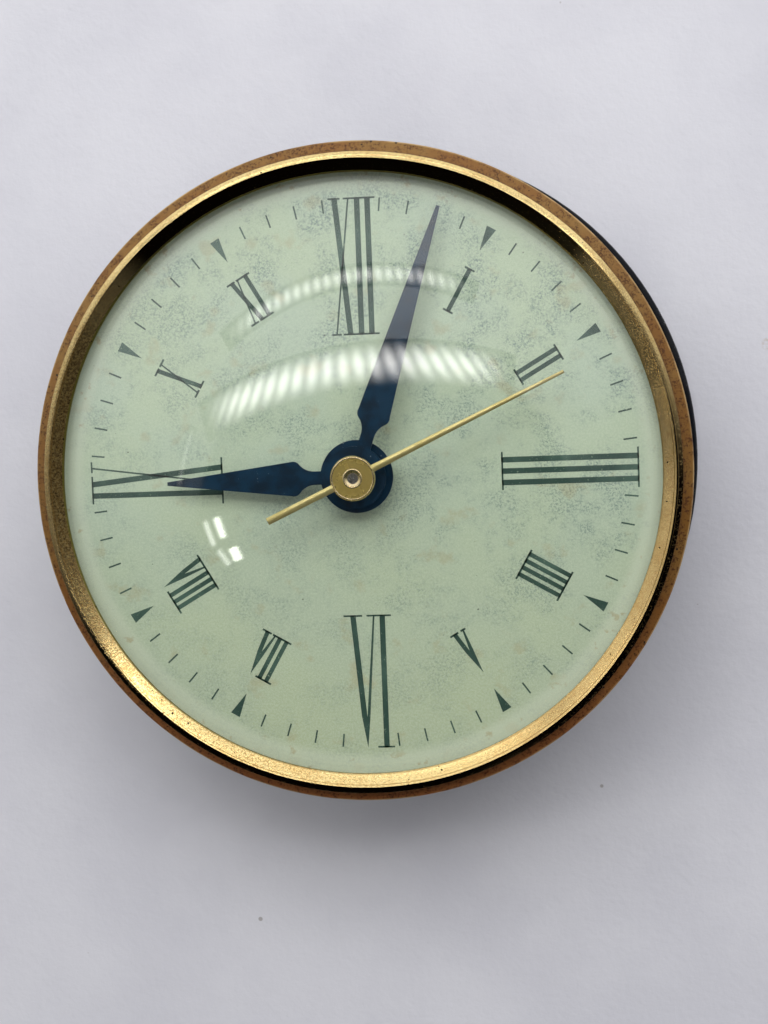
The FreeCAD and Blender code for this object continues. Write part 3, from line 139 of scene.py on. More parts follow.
# a new piece that rides on a body, with the material it is given
def pieceFromMesh(name, builder, material, body):
    mesh = bpy.data.meshes.new(name)
    builder.to_mesh(mesh)
    builder.free()
    mesh.materials.append(material)
    piece = bpy.data.objects.new(name, mesh)
    bpy.context.scene.collection.objects.link(piece)
    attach(piece, body)
    return piece


cameraLook = {
    "overDial": (29.66, 12.93, 259.73),  # millimetres from the dial's centre
    "tilt": (-4.368, 5.568, -2.167),  # degrees
    "lens": 57.79,
}


def placeCamera():
    data = bpy.data.cameras.new("camera")
    data.lens = cameraLook["lens"]
    data.clip_start = 0.01
    camera = bpy.data.objects.new("camera", data)
    bpy.context.scene.collection.objects.link(camera)
    x, y, z = (part * mm for part in cameraLook["overDial"])
    camera.location = (x, y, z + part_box("dial")[1].z)
    camera.rotation_euler = Euler([math.radians(angle) for angle in cameraLook["tilt"]], "XYZ")
    bpy.context.scene.camera = camera


placeCamera()
print("camera placed")


# Spun brass whose lacquer has gone: a clear yellow mirror, with a dark grain of tarnish
# in the cove where it was handled, dirt packed on the outer flank, black pits and turning marks.
bezelLook = {
    "brass": "F4DC9E", "film": "C9A060", "olive": "6B5420", "brown": "26180A", "nick": "8A6428",
    "pit": "140B06", "lacquer": "6E6A2C", "polish": 0.12, "dull": 0.36,
    # millimetres across, and for pits their spacing and largest radius
    "filmPatch": 4.0, "fineGrain": 0.26, "tarnishGrain": 0.34, "dirtGrain": 0.35, "turningMark": 0.12,
    "pits": (1.3, 0.19),
    # the way from the dial's centre to where each stands thickest
    "fineWay": (-0.82, -0.57, 0.0), "tarnishWay": (-0.99, 0.14, 0.0), "secondWay": (0.90, 0.44, 0.0),
    "dirtWay": (0.88, -0.47, 0.0),
    # millimetres in from the skirt: the lip's edge, a scored line, and where the flank starts
    "lip": 2.92, "scored": 1.16, "flank": 0.5,
}


def spunBrass():
    look = bezelLook
    material, tree, shader, place = startMaterial("spun_brass", {})
    reach = axisReach(tree, place)
    skirt = outerReach("bezel")
    film = cloudMask(tree, place, look["filmPatch"], 0.44, 0.66, 6.0)
    colour = overlay(tree, film, 0.3, look["brass"], look["film"])
    warm = ringPart(tree, place, look["dirtWay"], 0.45, 0.95)
    colour = overlay(tree, warm, 0.4, colour, look["film"])
    # a fine sparkling grain all round, and most of it from seven to nine o'clock
    fine = cloudMask(tree, place, look["fineGrain"], 0.42, 0.60, 2.0, 0.6)
    thick = ringPart(tree, place, look["fineWay"], 0.35, 0.85)
    much = addNode(tree, "MapRange", {0: thick, 3: 0.5, 4: 1.0})
    fine = addNode(tree, "Math", {0: fine, 1: much}, operation="MULTIPLY")
    colour = overlay(tree, fine, 0.75, colour, look["film"])
    # tarnish stands at nine o'clock and again at two: olive, with brown grains
    first = ringPart(tree, place, look["tarnishWay"], 0.76, 0.97)
    second = ringPart(tree, place, look["secondWay"], 0.95, 0.995)
    worn = addNode(tree, "Math", {0: second, 1: 0.8, 2: first}, operation="MULTIPLY_ADD", use_clamp=True)
    # it is thinner on the flank, where the brass still sparkles
    flankStart = skirt - look["flank"] * mm
    cove = addNode(tree, "MapRange", {
        0: reach, 1: flankStart - 0.05 * mm, 2: flankStart - 0.45 * mm, 3: 0.4, 4: 1.0,
    })
    worn = addNode(tree, "Math", {0: worn, 1: cove}, operation="MULTIPLY")
    colour = overlay(tree, worn, 0.75, colour, look["olive"])
    grain = cloudMask(tree, place, look["tarnishGrain"], 0.40, 0.60, 6.0, 0.85)
    broken = addNode(tree, "Math", {0: grain, 1: worn}, operation="MULTIPLY")
    colour = overlay(tree, broken, 0.88, colour, look["brown"])
    # dirt on the flank above the flange, towards four o'clock
    flank = addNode(tree, "MapRange", {0: reach, 1: flankStart - 0.05 * mm, 2: flankStart + 0.05 * mm})
    height = addNode(tree, "SeparateXYZ", {0: place}).outputs["Z"]
    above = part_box("flange_ring")[1].z
    shown = addNode(tree, "MapRange", {0: height, 1: above - 0.1 * mm, 2: above + 0.3 * mm})
    dirty = ringPart(tree, place, look["dirtWay"], 0.62, 0.92)
    grit = cloudMask(tree, place, look["dirtGrain"], 0.32, 0.46, 4.0, 0.7)
    for mask in (flank, shown, grit):
        dirty = addNode(tree, "Math", {0: mask, 1: dirty}, operation="MULTIPLY")
    # old lacquer still stands as an olive line along the lip, and in a scored line inside the ridge
    lip = skirt - look["lip"] * mm
    edge = addNode(tree, "MapRange", {0: reach, 1: lip + 0.18 * mm, 2: lip + 0.06 * mm})
    colour = overlay(tree, edge, 0.85, colour, look["lacquer"])
    away = addNode(tree, "Math", {0: reach, 1: skirt - look["scored"] * mm}, operation="SUBTRACT")
    away = addNode(tree, "Math", {0: away}, operation="ABSOLUTE")
    scored = addNode(tree, "MapRange", {0: away, 1: 0.08 * mm, 2: 0.03 * mm})
    colour = overlay(tree, scored, 0.6, colour, look["nick"])
    dark = addNode(tree, "Math", {0: dirty, 1: speckMask(tree, place, *look["pits"])}, operation="MAXIMUM")
    colour = overlay(tree, dark, 1.0, colour, look["pit"])
    # tarnish is a dull crust and no mirror
    metal = addNode(tree, "MapRange", {0: worn, 3: 1.0, 4: 0.7})
    rough = addNode(tree, "Math", {0: worn, 1: 0.7, 2: edge}, operation="MULTIPLY_ADD", use_clamp=True)
    rough = addNode(tree, "Math", {0: rough, 1: dark}, operation="MAXIMUM")
    rough = addNode(tree, "MapRange", {0: rough, 3: look["polish"], 4: look["dull"]})
    marks = addNode(tree, "TexNoise", {
        "W": reach, "Scale": perMillimetre(look["turningMark"]), "Detail": 2.0,
    }, noise_dimensions="1D")
    relief = addNode(tree, "Math", {0: fine, 1: -1.0, 2: marks}, operation="MULTIPLY_ADD")
    relief = addNode(tree, "Math", {0: dark, 1: -3.0, 2: relief}, operation="MULTIPLY_ADD")
    feed(tree, shader, {
        "Base Color": colour, "Metallic": metal, "Roughness": rough,
        "Normal": addNode(tree, "Bump", {"Height": relief, "Distance": 0.004 * mm}),
    })
    return material


# Brass that has lost all its lacquer: an even tan bronze with a soft shine, brown in patches, dirt
# packed beside the bezel with painted shade there, a painted highlight along the outer edge, and painted
# light lifting the side towards six.
flangeLook = {
    # red lifts the shaded side as painted light, rubbed is a painted highlight on the outer edge, and dirt
    # also paints shade in the groove
    "tan": "866330", "bronze": "7E5422", "paintedLightRed": "A0623A", "brown": "44220C", "rubbed": "BFA06A",
    "dirtAndShade": "120C08", "green": "77856C", "metal": 0.22, "polish": 0.40, "dull": 0.6,
    # millimetres across, and for pits their spacing and largest radius
    "broadPatch": 9.0, "streak": 1.4, "grain": 0.35, "highlightPatch": 6.0, "dirtAndShadePatch": 0.9,
    "greenPatch": 3.0, "pits": (1.3, 0.22),
    # the way towards six o'clock, where the flange lies in the bezel's shade and painted light and shade are
    # laid
    "shadedSide": (0.0, -1.0, 0.0),
    "edge": (0.32, 0.14), "groove": (1.35, 1.8),  # millimetres in from the outside: start and full
}


def tarnishedBrass():
    look = flangeLook
    material, tree, shader, place = startMaterial("tarnished_brass", {})
    outside = outerReach("flange_ring")
    reach = axisReach(tree, place)
    broad = cloudMask(tree, place, look["broadPatch"], 0.38, 0.64, 5.0)
    colour = overlay(tree, broad, 0.9, look["tan"], look["bronze"])
    # redder and a little lighter towards six o'clock: painted light that lifts the side the bezel shades
    shadedSide = ringPart(tree, place, look["shadedSide"], 0.1, 0.95)
    colour = overlay(tree, shadedSide, 0.75, colour, look["paintedLightRed"])
    streak = cloudMask(tree, place, look["streak"], 0.44, 0.60, 6.0, 0.75)
    grain = cloudMask(tree, place, look["grain"], 0.42, 0.60, 3.0, 0.7)
    browned = addNode(tree, "Math", {0: streak, 1: grain}, operation="MULTIPLY")
    colour = overlay(tree, browned, 0.85, colour, look["brown"])
    edge, groove = (
        addNode(tree, "MapRange", {0: reach, 1: outside - start * mm, 2: outside - full * mm},
                interpolation_type="SMOOTHSTEP")
        for start, full in (look["edge"], look["groove"])
    )
    # a painted highlight along the outer edge, in patches, where the edge catches the light
    patch = cloudMask(tree, place, look["highlightPatch"], 0.36, 0.56)
    rubbed = addNode(tree, "Math", {0: edge, 1: patch}, operation="MULTIPLY")
    colour = overlay(tree, rubbed, 0.7, colour, look["rubbed"])
    # dirt packed in the groove beside the bezel, with painted shade in that crease that is heavier towards
    # six o'clock, and dark pits all over
    patch = cloudMask(tree, place, look["dirtAndShadePatch"], 0.42, 0.52, 5.0, 0.75)
    packedDirtAndShade = addNode(tree, "Math", {0: groove, 1: patch}, operation="MULTIPLY")
    much = addNode(tree, "MapRange", {0: shadedSide, 3: 0.3, 4: 1.0})
    packedDirtAndShade = addNode(tree, "Math", {0: packedDirtAndShade, 1: much}, operation="MULTIPLY")
    dirtAndShade = addNode(tree, "Math", {0: packedDirtAndShade, 1: speckMask(tree, place, *look["pits"])}, operation="MAXIMUM")
    colour = overlay(tree, dirtAndShade, 1.0, colour, look["dirtAndShade"])
    patch = cloudMask(tree, place, look["greenPatch"], 0.62, 0.70)
    verdigris = addNode(tree, "Math", {0: groove, 1: patch}, operation="MULTIPLY")
    colour = overlay(tree, verdigris, 0.6, colour, look["green"])
    metal = addNode(tree, "MapRange", {0: dirtAndShade, 3: look["metal"], 4: 0.1})
    dull = addNode(tree, "Math", {0: browned, 1: dirtAndShade}, operation="MAXIMUM")
    rough = addNode(tree, "MapRange", {0: dull, 3: look["polish"], 4: look["dull"]})
    feed(tree, shader, {
        "Base Color": colour, "Metallic": metal, "Roughness": rough,
        "Normal": addNode(tree, "Bump", {"Height": dull, "Distance": 0.01 * mm}),
    })
    return material


# Sheet and bar stock of the works. Each has its own colour, a film of old oil and a
# grain: rolled sheet is grainier than turned or cut stock. Sizes in millimetres.
metalLooks = {
    "rolled_brass": {"colour": "D9BC78", "film": "9A7A45", "polish": 0.32, "grain": 0.25, "patch": 6.0},
    "turned_brass": {"colour": "E0C584", "film": "A38352", "polish": 0.26, "grain": 0.12, "patch": 3.0},
    # a thin gold lacquer over brass is only partly a mirror
    "gilt_lacquer": {"colour": "CBB468", "film": "A08C48", "polish": 0.22, "grain": 0.15, "patch": 3.2,
                     "metal": 0.7},
    "worn_gilt": {"colour": "D4C688", "film": "B4A462", "polish": 0.28, "grain": 0.15, "patch": 4.0,
                  "metal": 0.75},
    "rubbed_brass": {"colour": "FBE7BC", "film": "D9BA7C", "polish": 0.14, "grain": 0.12, "patch": 3.0},
    "turned_steel": {"colour": "A9A8A4", "film": "6F6961", "polish": 0.32, "grain": 0.12, "patch": 2.0},
    "cut_steel": {"colour": "B4B3AF", "film": "7B766E", "polish": 0.24, "grain": 0.1, "patch": 2.0},
    "drawn_copper": {"colour": "C98560", "film": "6C3F2A", "polish": 0.36, "grain": 0.2, "patch": 2.5},
    "plated_copper": {"colour": "BE8660", "film": "7A563E", "polish": 0.38, "grain": 0.3, "patch": 4.0},
}


def plainMetal(name):
    look = metalLooks[name]
    material, tree, shader, place = startMaterial(name, {"Metallic": look.get("metal", 1.0)})
    film = cloudMask(tree, place, look["patch"], 0.42, 0.68, 5.0)
    grain = cloudMask(tree, place, look["grain"], 0.3, 0.7, 2.0, 0.5)
    feed(tree, shader, {
        "Base Color": overlay(tree, film, 0.6, look["colour"], look["film"]),
        "Roughness": addNode(tree, "MapRange", {0: film, 3: look["polish"], 4: look["polish"] + 0.12}),
        "Normal": addNode(tree, "Bump", {"Height": grain, "Distance": 0.003 * mm}),
    })
    return material


# Silicon steel stampings stacked flat: their edges show as level lines, with some rust.
# Sizes in millimetres.
laminationLook = {"steel": "7C7874", "rust": "5A3A28", "sheet": 0.5, "rustPatch": 1.5}


def laminatedSteel():
    material, tree, shader, place = startMaterial("laminated_steel", {"Metallic": 1.0, "Roughness": 0.5})
    bands = math.pi / 10 / (laminationLook["sheet"] * mm)  # one band for each sheet
    lines = addNode(tree, "TexWave", {
        "Vector": place, "Scale": bands, "Distortion": 0.3,
    }, bands_direction="Z")
    rust = cloudMask(tree, place, laminationLook["rustPatch"], 0.52, 0.68, 5.0)
    feed(tree, shader, {
        "Base Color": overlay(tree, rust, 1.0, laminationLook["steel"], laminationLook["rust"]),
        "Normal": addNode(tree, "Bump", {"Height": lines.outputs["Fac"], "Distance": 0.05 * mm}),
    })
    return material


print("metals made")


# Pale green dial paint, aged under glass: an even fine grain, clusters of grey-blue
# foxing, tea-coloured stains, and a few dark specks, with painted shade towards the bottom and painted light
# near the bezel.
dialLook = {
    "green": "B2C4A7", "pale": "CFDAC3", "blue": "A9BEB2", "low": "A8B48E", "foxing": "5E7676",
    "stain": "A5925E", "speck": "2A2F28", "roughness": 0.45,
    # millimetres across, and for specks their spacing and largest radius
    "cloud": 20.0, "grain": 0.32, "foxCluster": 7.0, "foxGrain": 0.30, "stainPatch": 5.0, "rimStain": 2.4,
    "specks": ((4.6, 0.17), (1.5, 0.07)),
    # the lower tint: a yellower tone with painted shade towards the bottom
    "lowShadeEdge": (5, -42),  # millimetres up from the centre: where the lower tint starts and is full
    "foxWay": (0.5, 0.85, 0.0), "foxEdge": (-30, 30),  # the way that foxing gathers, and from where
    # where the painted light ring near the bezel starts and is full
    "paintedRimLight": (6.35, 4.35),  # millimetres in from the bezel's skirt: start and full
}


def agedDialPaint():
    look = dialLook
    material, tree, shader, place = startMaterial("aged_dial_paint", {
        "Roughness": look["roughness"], "IOR": 1.5,
    })
    reach = axisReach(tree, place)
    cloud = cloudMask(tree, place, look["cloud"], 0.36, 0.64, 3.0, 0.5)
    colour = overlay(tree, cloud, 0.4, look["green"], look["blue"])
    # a yellower tone, and painted shade: a little darker below the hands, towards the bottom
    height = addNode(tree, "SeparateXYZ", {0: place}).outputs["Y"]
    start, full = look["lowShadeEdge"]
    low = addNode(tree, "MapRange", {0: height, 1: start * mm, 2: full * mm})
    colour = overlay(tree, low, 0.6, colour, look["low"])
    grain = cloudMask(tree, place, look["grain"], 0.40, 0.62, 3.0, 0.75)
    colour = overlay(tree, grain, 0.32, colour, look["pale"])
    # foxing is made of fine grains that gather in loose clusters, most of them towards one o'clock
    cluster = cloudMask(tree, place, look["foxCluster"], 0.43, 0.62, 6.0, 0.7)
    upward = addNode(tree, "VectorMath", {0: place, 1: look["foxWay"]}, operation="DOT_PRODUCT")
    start, full = look["foxEdge"]
    upper = addNode(tree, "MapRange", {0: upward, 1: start * mm, 2: full * mm, 3: 0.45, 4: 1.0})
    cluster = addNode(tree, "Math", {0: cluster, 1: upper}, operation="MULTIPLY")
    fox = cloudMask(tree, place, look["foxGrain"], 0.46, 0.58, 4.0, 0.8)
    foxed = addNode(tree, "Math", {0: fox, 1: cluster}, operation="MULTIPLY")
    colour = overlay(tree, foxed, 0.72, colour, look["foxing"])
    stain = cloudMask(tree, place, look["stainPatch"], 0.58, 0.70, 3.0, 0.5)
    colour = overlay(tree, stain, 0.28, colour, look["stain"])
    # a ring near the bezel is painted paler: painted light against the bezel's shadow on the dial, with
    # brown stains here and there
    skirt = outerReach("bezel")
    start, full = look["paintedRimLight"]
    paintedRimLight = addNode(tree, "MapRange", {0: reach, 1: skirt - start * mm, 2: skirt - full * mm},
                    interpolation_type="SMOOTHSTEP")
    colour = overlay(tree, paintedRimLight, 0.5, colour, look["pale"])
    rusty = cloudMask(tree, place, look["rimStain"], 0.60, 0.68, 4.0)
    rusty = addNode(tree, "Math", {0: paintedRimLight, 1: rusty}, operation="MULTIPLY")
    colour = overlay(tree, rusty, 0.45, colour, look["stain"])
    large, small = (speckMask(tree, place, *size) for size in look["specks"])
    specks = addNode(tree, "Math", {0: large, 1: small}, operation="MAXIMUM")
    colour = overlay(tree, specks, 0.75, colour, look["speck"])
    feed(tree, shader, {
        "Base Color": colour, "Normal": addNode(tree, "Bump", {"Height": grain, "Distance": 0.006 * mm}),
    })
    return material


# Dark grey-green printer's ink, thin enough for the paint to show through where it is
# worn. Sizes in millimetres.
inkLook = {"ink": "28443A", "worn": "527061", "paint": "9FB095", "thinPatch": 8.0, "gap": 0.45}


def printedInk():
    material, tree, shader, place = startMaterial("printed_ink", {"Roughness": 0.5, "IOR": 1.5})
    thin = cloudMask(tree, place, inkLook["thinPatch"], 0.45, 0.70, 3.0, 0.5)
    colour = overlay(tree, thin, 0.55, inkLook["ink"], inkLook["worn"])
    gone = cloudMask(tree, place, inkLook["gap"], 0.62, 0.68, 4.0, 0.75)
    feed(tree, shader, {"Base Color": overlay(tree, gone, 0.7, colour, inkLook["paint"])})
    return material


# Clear glass, pressed and polished. Lamps shine straight through it on to the dial.
def clearGlass():
    material, tree, shader = startMaterial("polished_glass", {
        "Base Color": (1.0, 1.0, 1.0, 1.0), "Transmission Weight": 1.0, "IOR": 1.5, "Roughness": 0.0,
    })[:3]
    path = addNode(tree, "LightPath", {})
    clear = addNode(tree, "BsdfTransparent", {})
    bounced = addNode(tree, "MixShader", {0: path.outputs["Is Diffuse Ray"], 1: shader})
    feed(tree, bounced, {2: clear})
    mixed = addNode(tree, "MixShader", {0: path.outputs["Is Shadow Ray"], 1: bounced})
    feed(tree, mixed, {2: clear})
    feed(tree, tree.nodes["Material Output"], {"Surface": mixed})
    return material


# Blue-black lacquer on pressed sheet, satin, with dust that has settled under the glass.
# The patch is in millimetres, and the dust is spacing and largest radius.
handLook = {
    "lacquer": "042A40", "shade": "021A2A", "dust": "B8C4C8", "roughness": 0.28, "patch": 3.0,
    "specks": ((1.5, 0.13), (0.6, 0.045)),
}


def blueBlackLacquer():
    look = handLook
    material, tree, shader, place = startMaterial("blue_black_lacquer", {
        "Roughness": look["roughness"], "IOR": 1.5,
    })
    patch = cloudMask(tree, place, look["patch"], 0.40, 0.65)
    colour = overlay(tree, patch, 1.0, look["lacquer"], look["shade"])
    large, small = (speckMask(tree, place, *size) for size in look["specks"])
    dust = addNode(tree, "Math", {0: large, 1: small}, operation="MAXIMUM")
    feed(tree, shader, {"Base Color": overlay(tree, dust, 0.7, colour, look["dust"])})
    return material


# Black stoving enamel on drawn steel, gone satin with age: slightly wavy, dusty and
# lightly scuffed, worn to the steel in spots along the rolled rim. Sizes in millimetres.
enamelLook = {
    "black": "06080F", "dust": "4A4846", "scuff": "24242A", "steel": "8E8B86", "satin": 0.26, "dull": 0.42,
    "scuffPatch": 4.0, "dustPatch": 9.0, "dustSpecks": (0.9, 0.07), "bareSpot": 2.2, "wave": 1.6,
    "rim": (0.5, 0.1),  # in from the outside: where wear starts and is full
}


def stovedEnamel():
    look = enamelLook
    material, tree, shader, place = startMaterial("stoved_enamel", {"IOR": 1.5, "Specular IOR Level": 0.12})
    scuff = cloudMask(tree, place, look["scuffPatch"], 0.55, 0.70, 6.0, 0.7)
    colour = overlay(tree, scuff, 0.5, look["black"], look["scuff"])
    dust = cloudMask(tree, place, look["dustPatch"], 0.45, 0.75, 5.0)
    colour = overlay(tree, dust, 0.12, colour, look["dust"])
    colour = overlay(tree, speckMask(tree, place, *look["dustSpecks"]), 0.6, colour, look["dust"])
    outside = outerReach("case_drum")
    start, full = look["rim"]
    edge = addNode(tree, "MapRange", {
        0: axisReach(tree, place), 1: outside - start * mm, 2: outside - full * mm,
    })
    spots = cloudMask(tree, place, look["bareSpot"], 0.60, 0.64, 6.0, 0.7)
    bare = addNode(tree, "Math", {0: edge, 1: spots}, operation="MULTIPLY")
    wave = cloudMask(tree, place, look["wave"], 0.2, 0.8, 2.0)
    feed(tree, shader, {
        "Base Color": overlay(tree, bare, 1.0, colour, look["steel"]),
        "Metallic": bare,
        "Roughness": addNode(tree, "MapRange", {0: scuff, 3: look["satin"], 4: look["dull"]}),
        "Normal": addNode(tree, "Bump", {"Height": wave, "Distance": 0.02 * mm}),
    })
    return material


# Mouldings and pressings without a metal's shine, all a little dusty. Sizes in millimetres.
dustLook = {"colour": "6A6762", "specks": (1.0, 0.08)}
mouldLooks = {
    "moulded_rubber": {"colour": "1B1A19", "fade": "302E2B", "roughness": 0.7, "patch": 2.0, "grain": 0.3},
    "moulded_phenolic": {"colour": "171312", "fade": "2E2520", "roughness": 0.3, "patch": 5.0, "grain": 0.6},
    "pressed_card": {"colour": "161413", "fade": "241F1C", "roughness": 0.85, "patch": 2.0, "grain": 0.2},
    "pressed_fibre": {"colour": "5A3A28", "fade": "3A241A", "roughness": 0.7, "patch": 1.5, "grain": 0.25},
}


def moulded(name):
    look = mouldLooks[name]
    material, tree, shader, place = startMaterial(name, {"IOR": 1.5})
    fade = cloudMask(tree, place, look["patch"], 0.45, 0.65)
    colour = overlay(tree, fade, 1.0, look["colour"], look["fade"])
    dust = speckMask(tree, place, *dustLook["specks"])
    grain = cloudMask(tree, place, look["grain"], 0.3, 0.7, 3.0)
    feed(tree, shader, {
        "Base Color": overlay(tree, dust, 0.5, colour, dustLook["colour"]),
        "Roughness": addNode(tree, "MapRange", {0: fade, 3: look["roughness"], 4: look["roughness"] + 0.1}),
        "Normal": addNode(tree, "Bump", {"Height": grain, "Distance": 0.02 * mm}),
    })
    return material


# Fine enamelled copper wire, drawn at three times its real thickness so that it shows.
coilLook = {"wire": "8A4428", "shade": "4C2114", "turn": 0.3}


def woundWire():
    material, tree, shader, place = startMaterial("wound_wire", {"Roughness": 0.4, "Coat Weight": 0.5})
    bands = math.pi / 10 / (coilLook["turn"] * mm)  # one band for each turn
    turns = addNode(tree, "TexWave", {
        "Vector": place, "Scale": bands, "Distortion": 0.6,
    }, bands_direction="X")
    feed(tree, shader, {
        "Base Color": overlay(tree, turns.outputs["Fac"], 1.0, coilLook["shade"], coilLook["wire"]),
        "Normal": addNode(tree, "Bump", {"Height": turns.outputs["Fac"], "Distance": 0.1 * mm}),
    })
    return material


print("paint, glass and mouldings made")


# every piece of the frame takes the finish of its slot
finishes = {
    "bezel_brass": spunBrass(),
    "flange_brass": tarnishedBrass(),
    "dial_glass": clearGlass(),
    "gasket_card": moulded("pressed_card"),
    "dial_enamel": agedDialPaint(),
    "case_enamel": stovedEnamel(),
    "steel_parts": plainMetal("turned_steel"),
    "inlet_rubber": moulded("moulded_rubber"),
    "frame_brass": plainMetal("rolled_brass"),
    "turned_brass": plainMetal("turned_brass"),
    "core_steel": laminatedSteel(),
    "shading_copper": plainMetal("drawn_copper"),
    "bobbin_fibre": moulded("pressed_fibre"),
    "coil_wrap": woundWire(),
    "capsule_metal": plainMetal("plated_copper"),
    "pinion_steel": plainMetal("cut_steel"),
    "hand_blue": blueBlackLacquer(),
    "seconds_brass": plainMetal("gilt_lacquer"),
    "knob_phenolic": moulded("moulded_phenolic"),
}
for row in frame["record"]["subparts"]:
    nodes[row["node"]].material_slots[0].material = finishes[row["material_slot"]]
print("finishes given to", len(finishes), "slots")


# The dome, the bezel and its flange are lathed afresh, finely enough for clean reflections.


# a closed outline in millimetres: its corners are (across, up, size of the rounding)
def roundedOutline(corners, steps=8):
    outline = []
    for index, (across, up, radius) in enumerate(corners):
        here = Vector((across, up))
        if not radius:
            outline.append(here)
            continue
        before = Vector(corners[index - 1][:2]) - here
        after = Vector(corners[(index + 1) % len(corners)][:2]) - here
        cut = min(radius / math.tan(before.angle(after) / 2), before.length / 2, after.length / 2)
        start = here + before.normalized() * cut
        end = here + after.normalized() * cut
        for step in range(steps + 1):
            t = step / steps
            outline.append(start * (1 - t) ** 2 + here * 2 * t * (1 - t) + end * t * t)
    return outline


# turns faces outwards, and shades smooth across edges less sharp than this many degrees
def shadeSmooth(builder, sharpest):
    bmesh.ops.recalc_face_normals(builder, faces=builder.faces)
    for face in builder.faces:
        face.smooth = True
    for edge in builder.edges:
        edge.smooth = edge.calc_face_angle(0.0) < math.radians(sharpest)


# turns an outline, in millimetres, about the axis of the hands; points on the axis are poles
def turnOutline(outline, divisions):
    builder = bmesh.new()
    poles = {}
    for index, (across, up) in enumerate(outline):
        if across == 0:
            poles[index] = builder.verts.new((0.0, 0.0, up * mm))
    rings = []
    for division in range(divisions):
        turn = 2 * math.pi * division / divisions
        rings.append([
            poles.get(index) or builder.verts.new((r * mm * math.cos(turn), r * mm * math.sin(turn), z * mm))
            for index, (r, z) in enumerate(outline)
        ])
    for division, here in enumerate(rings):
        after = rings[(division + 1) % divisions]
        for index in range(len(outline)):
            follow = (index + 1) % len(outline)
            # a pole comes twice, and an edge between two poles has no face
            corners = [here[index], after[index], after[follow], here[follow]]
            corners = list(dict.fromkeys(corners))
            if len(corners) > 2:
                builder.faces.new(corners)
    shadeSmooth(builder, 30)
    return builder


# The dome's outer radius and its wall in millimetres, and its steps to the rim and round.
glassForm = {"curve": 100.0, "wall": 1.2, "steps": 24, "round": 160}


def latheGlass():
    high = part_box("glass")[1] / mm
    outline = []
    steps = glassForm["steps"]
    centre = high.z - glassForm["curve"]
    for wall, order in ((0.0, range(steps + 1)), (glassForm["wall"], range(steps, -1, -1))):
        radius = glassForm["curve"] - wall
        for step in order:
            across = high.x * step / steps
            outline.append((across, centre + math.sqrt(radius * radius - across * across)))
    builder = turnOutline(outline, glassForm["round"])
    piece = pieceFromMesh("domed_glass", builder, finishes["dial_glass"], "case")
    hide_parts("glass")


# The bezel's sheet: a lip on the glass, a shallow cove, a fine ridge, and a flank that
# overhangs the flange. Millimetres out from the skirt and down from the bezel's top.
bezelForm = {
    "outline": [
        (-2.92, 1.56, 0.08), (-2.68, 1.33, 0.2), (-0.90, 0.48, 0.16), (-0.32, 0.62, 1.2),
        (0.12, 0.89, 0.02), (0.12, 1.45, 0.1), (0.0, 1.7, 0.1), (0.0, 10.2, 0.0),
        (-0.5, 10.2, 0.0), (-0.5, 1.9, 0.3), (-2.92, 1.98, 0.08),
    ],
    "offCentre": (0.10, -0.09, 0.0),  # it was pressed on a hair off centre
    "round": 288,
}


def latheBezel():
    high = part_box("bezel")[1] / mm
    outline = roundedOutline([
        (high.x + out, high.z - down, radius) for out, down, radius in bezelForm["outline"]
    ])
    builder = turnOutline(outline, bezelForm["round"])
    offCentre = [part * mm for part in bezelForm["offCentre"]]
    bmesh.ops.translate(builder, verts=builder.verts, vec=offCentre)
    piece = pieceFromMesh("brass_bezel", builder, finishes["bezel_brass"], "case")
    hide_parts("bezel")


# The flange's sheet: a plain skirt, then a band that rises a little towards the bezel.
# Millimetres in from its outside and down from its top.
flangeForm = {
    "outline": [
        (0.0, 4.35, 0.0), (0.0, 1.72, 0.4), (2.1, 0.92, 0.0), (2.1, 5.75, 0.0), (1.6, 5.75, 0.0),
        (1.6, 1.65, 0.1), (0.5, 2.1, 0.2), (0.5, 4.35, 0.0),
    ],
    "round": 288,
}


def latheFlange():
    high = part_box("flange_ring")[1] / mm
    outline = roundedOutline([
        (high.x - inward, high.z - down, radius) for inward, down, radius in flangeForm["outline"]
    ])
    builder = turnOutline(outline, flangeForm["round"])
    piece = pieceFromMesh("brass_flange", builder, finishes["flange_brass"], "case")
    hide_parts("flange_ring")


latheGlass()
latheBezel()
latheFlange()
print("glass, bezel and flange lathed")


# The seconds hand's rolled edges, where its lacquer is rubbed off: the eyelet about the
# arbor and the hub's rim. Millimetres out from the axis and up from the hub's top.
rolledForm = {
    "outlines": {
        "rolled_eyelet": [
            (0.82, -0.30, 0.0), (1.20, -0.08, 0.1), (1.34, 0.10, 0.1), (1.54, -0.02, 0.1),
            (1.54, -0.2, 0.0), (0.82, -0.42, 0.0),
        ],
        "rolled_rim": [
            (3.0, -0.06, 0.0), (3.16, 0.04, 0.1), (3.32, 0.02, 0.3), (3.48, -0.34, 0.15),
            (3.44, -0.6, 0.0), (3.0, -0.2, 0.0),
        ],
    },
    "round": 96,
}
rubbed = plainMetal("rubbed_brass")
wornGilt = plainMetal("worn_gilt")


def rollHubEdges():
    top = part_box("seconds_hand")[1].z / mm
    for name, corners in rolledForm["outlines"].items():
        outline = roundedOutline([(out, top + up, radius) for out, up, radius in corners])
        builder = turnOutline(outline, rolledForm["round"])
        pieceFromMesh(name, builder, rubbed, "seconds_work")


# The rounded back of its blade and of its tail, laid along the pressing.
bladeForm = {
    "turn": 65.1,  # degrees from twelve o'clock
    # millimetres: each end's reach and half width, where they leave the hub and how wide
    # they are there, and how deep they sit in the pressing
    "ends": {"blade_back": (35.75, 0.26), "tail_back": (-14.75, 0.57)},
    "start": 3.3, "root": 0.57, "seat": 0.1,
    "crown": 0.28,  # how high the back rises, as a share of its half width
    "steps": 36, "across": 8,
}


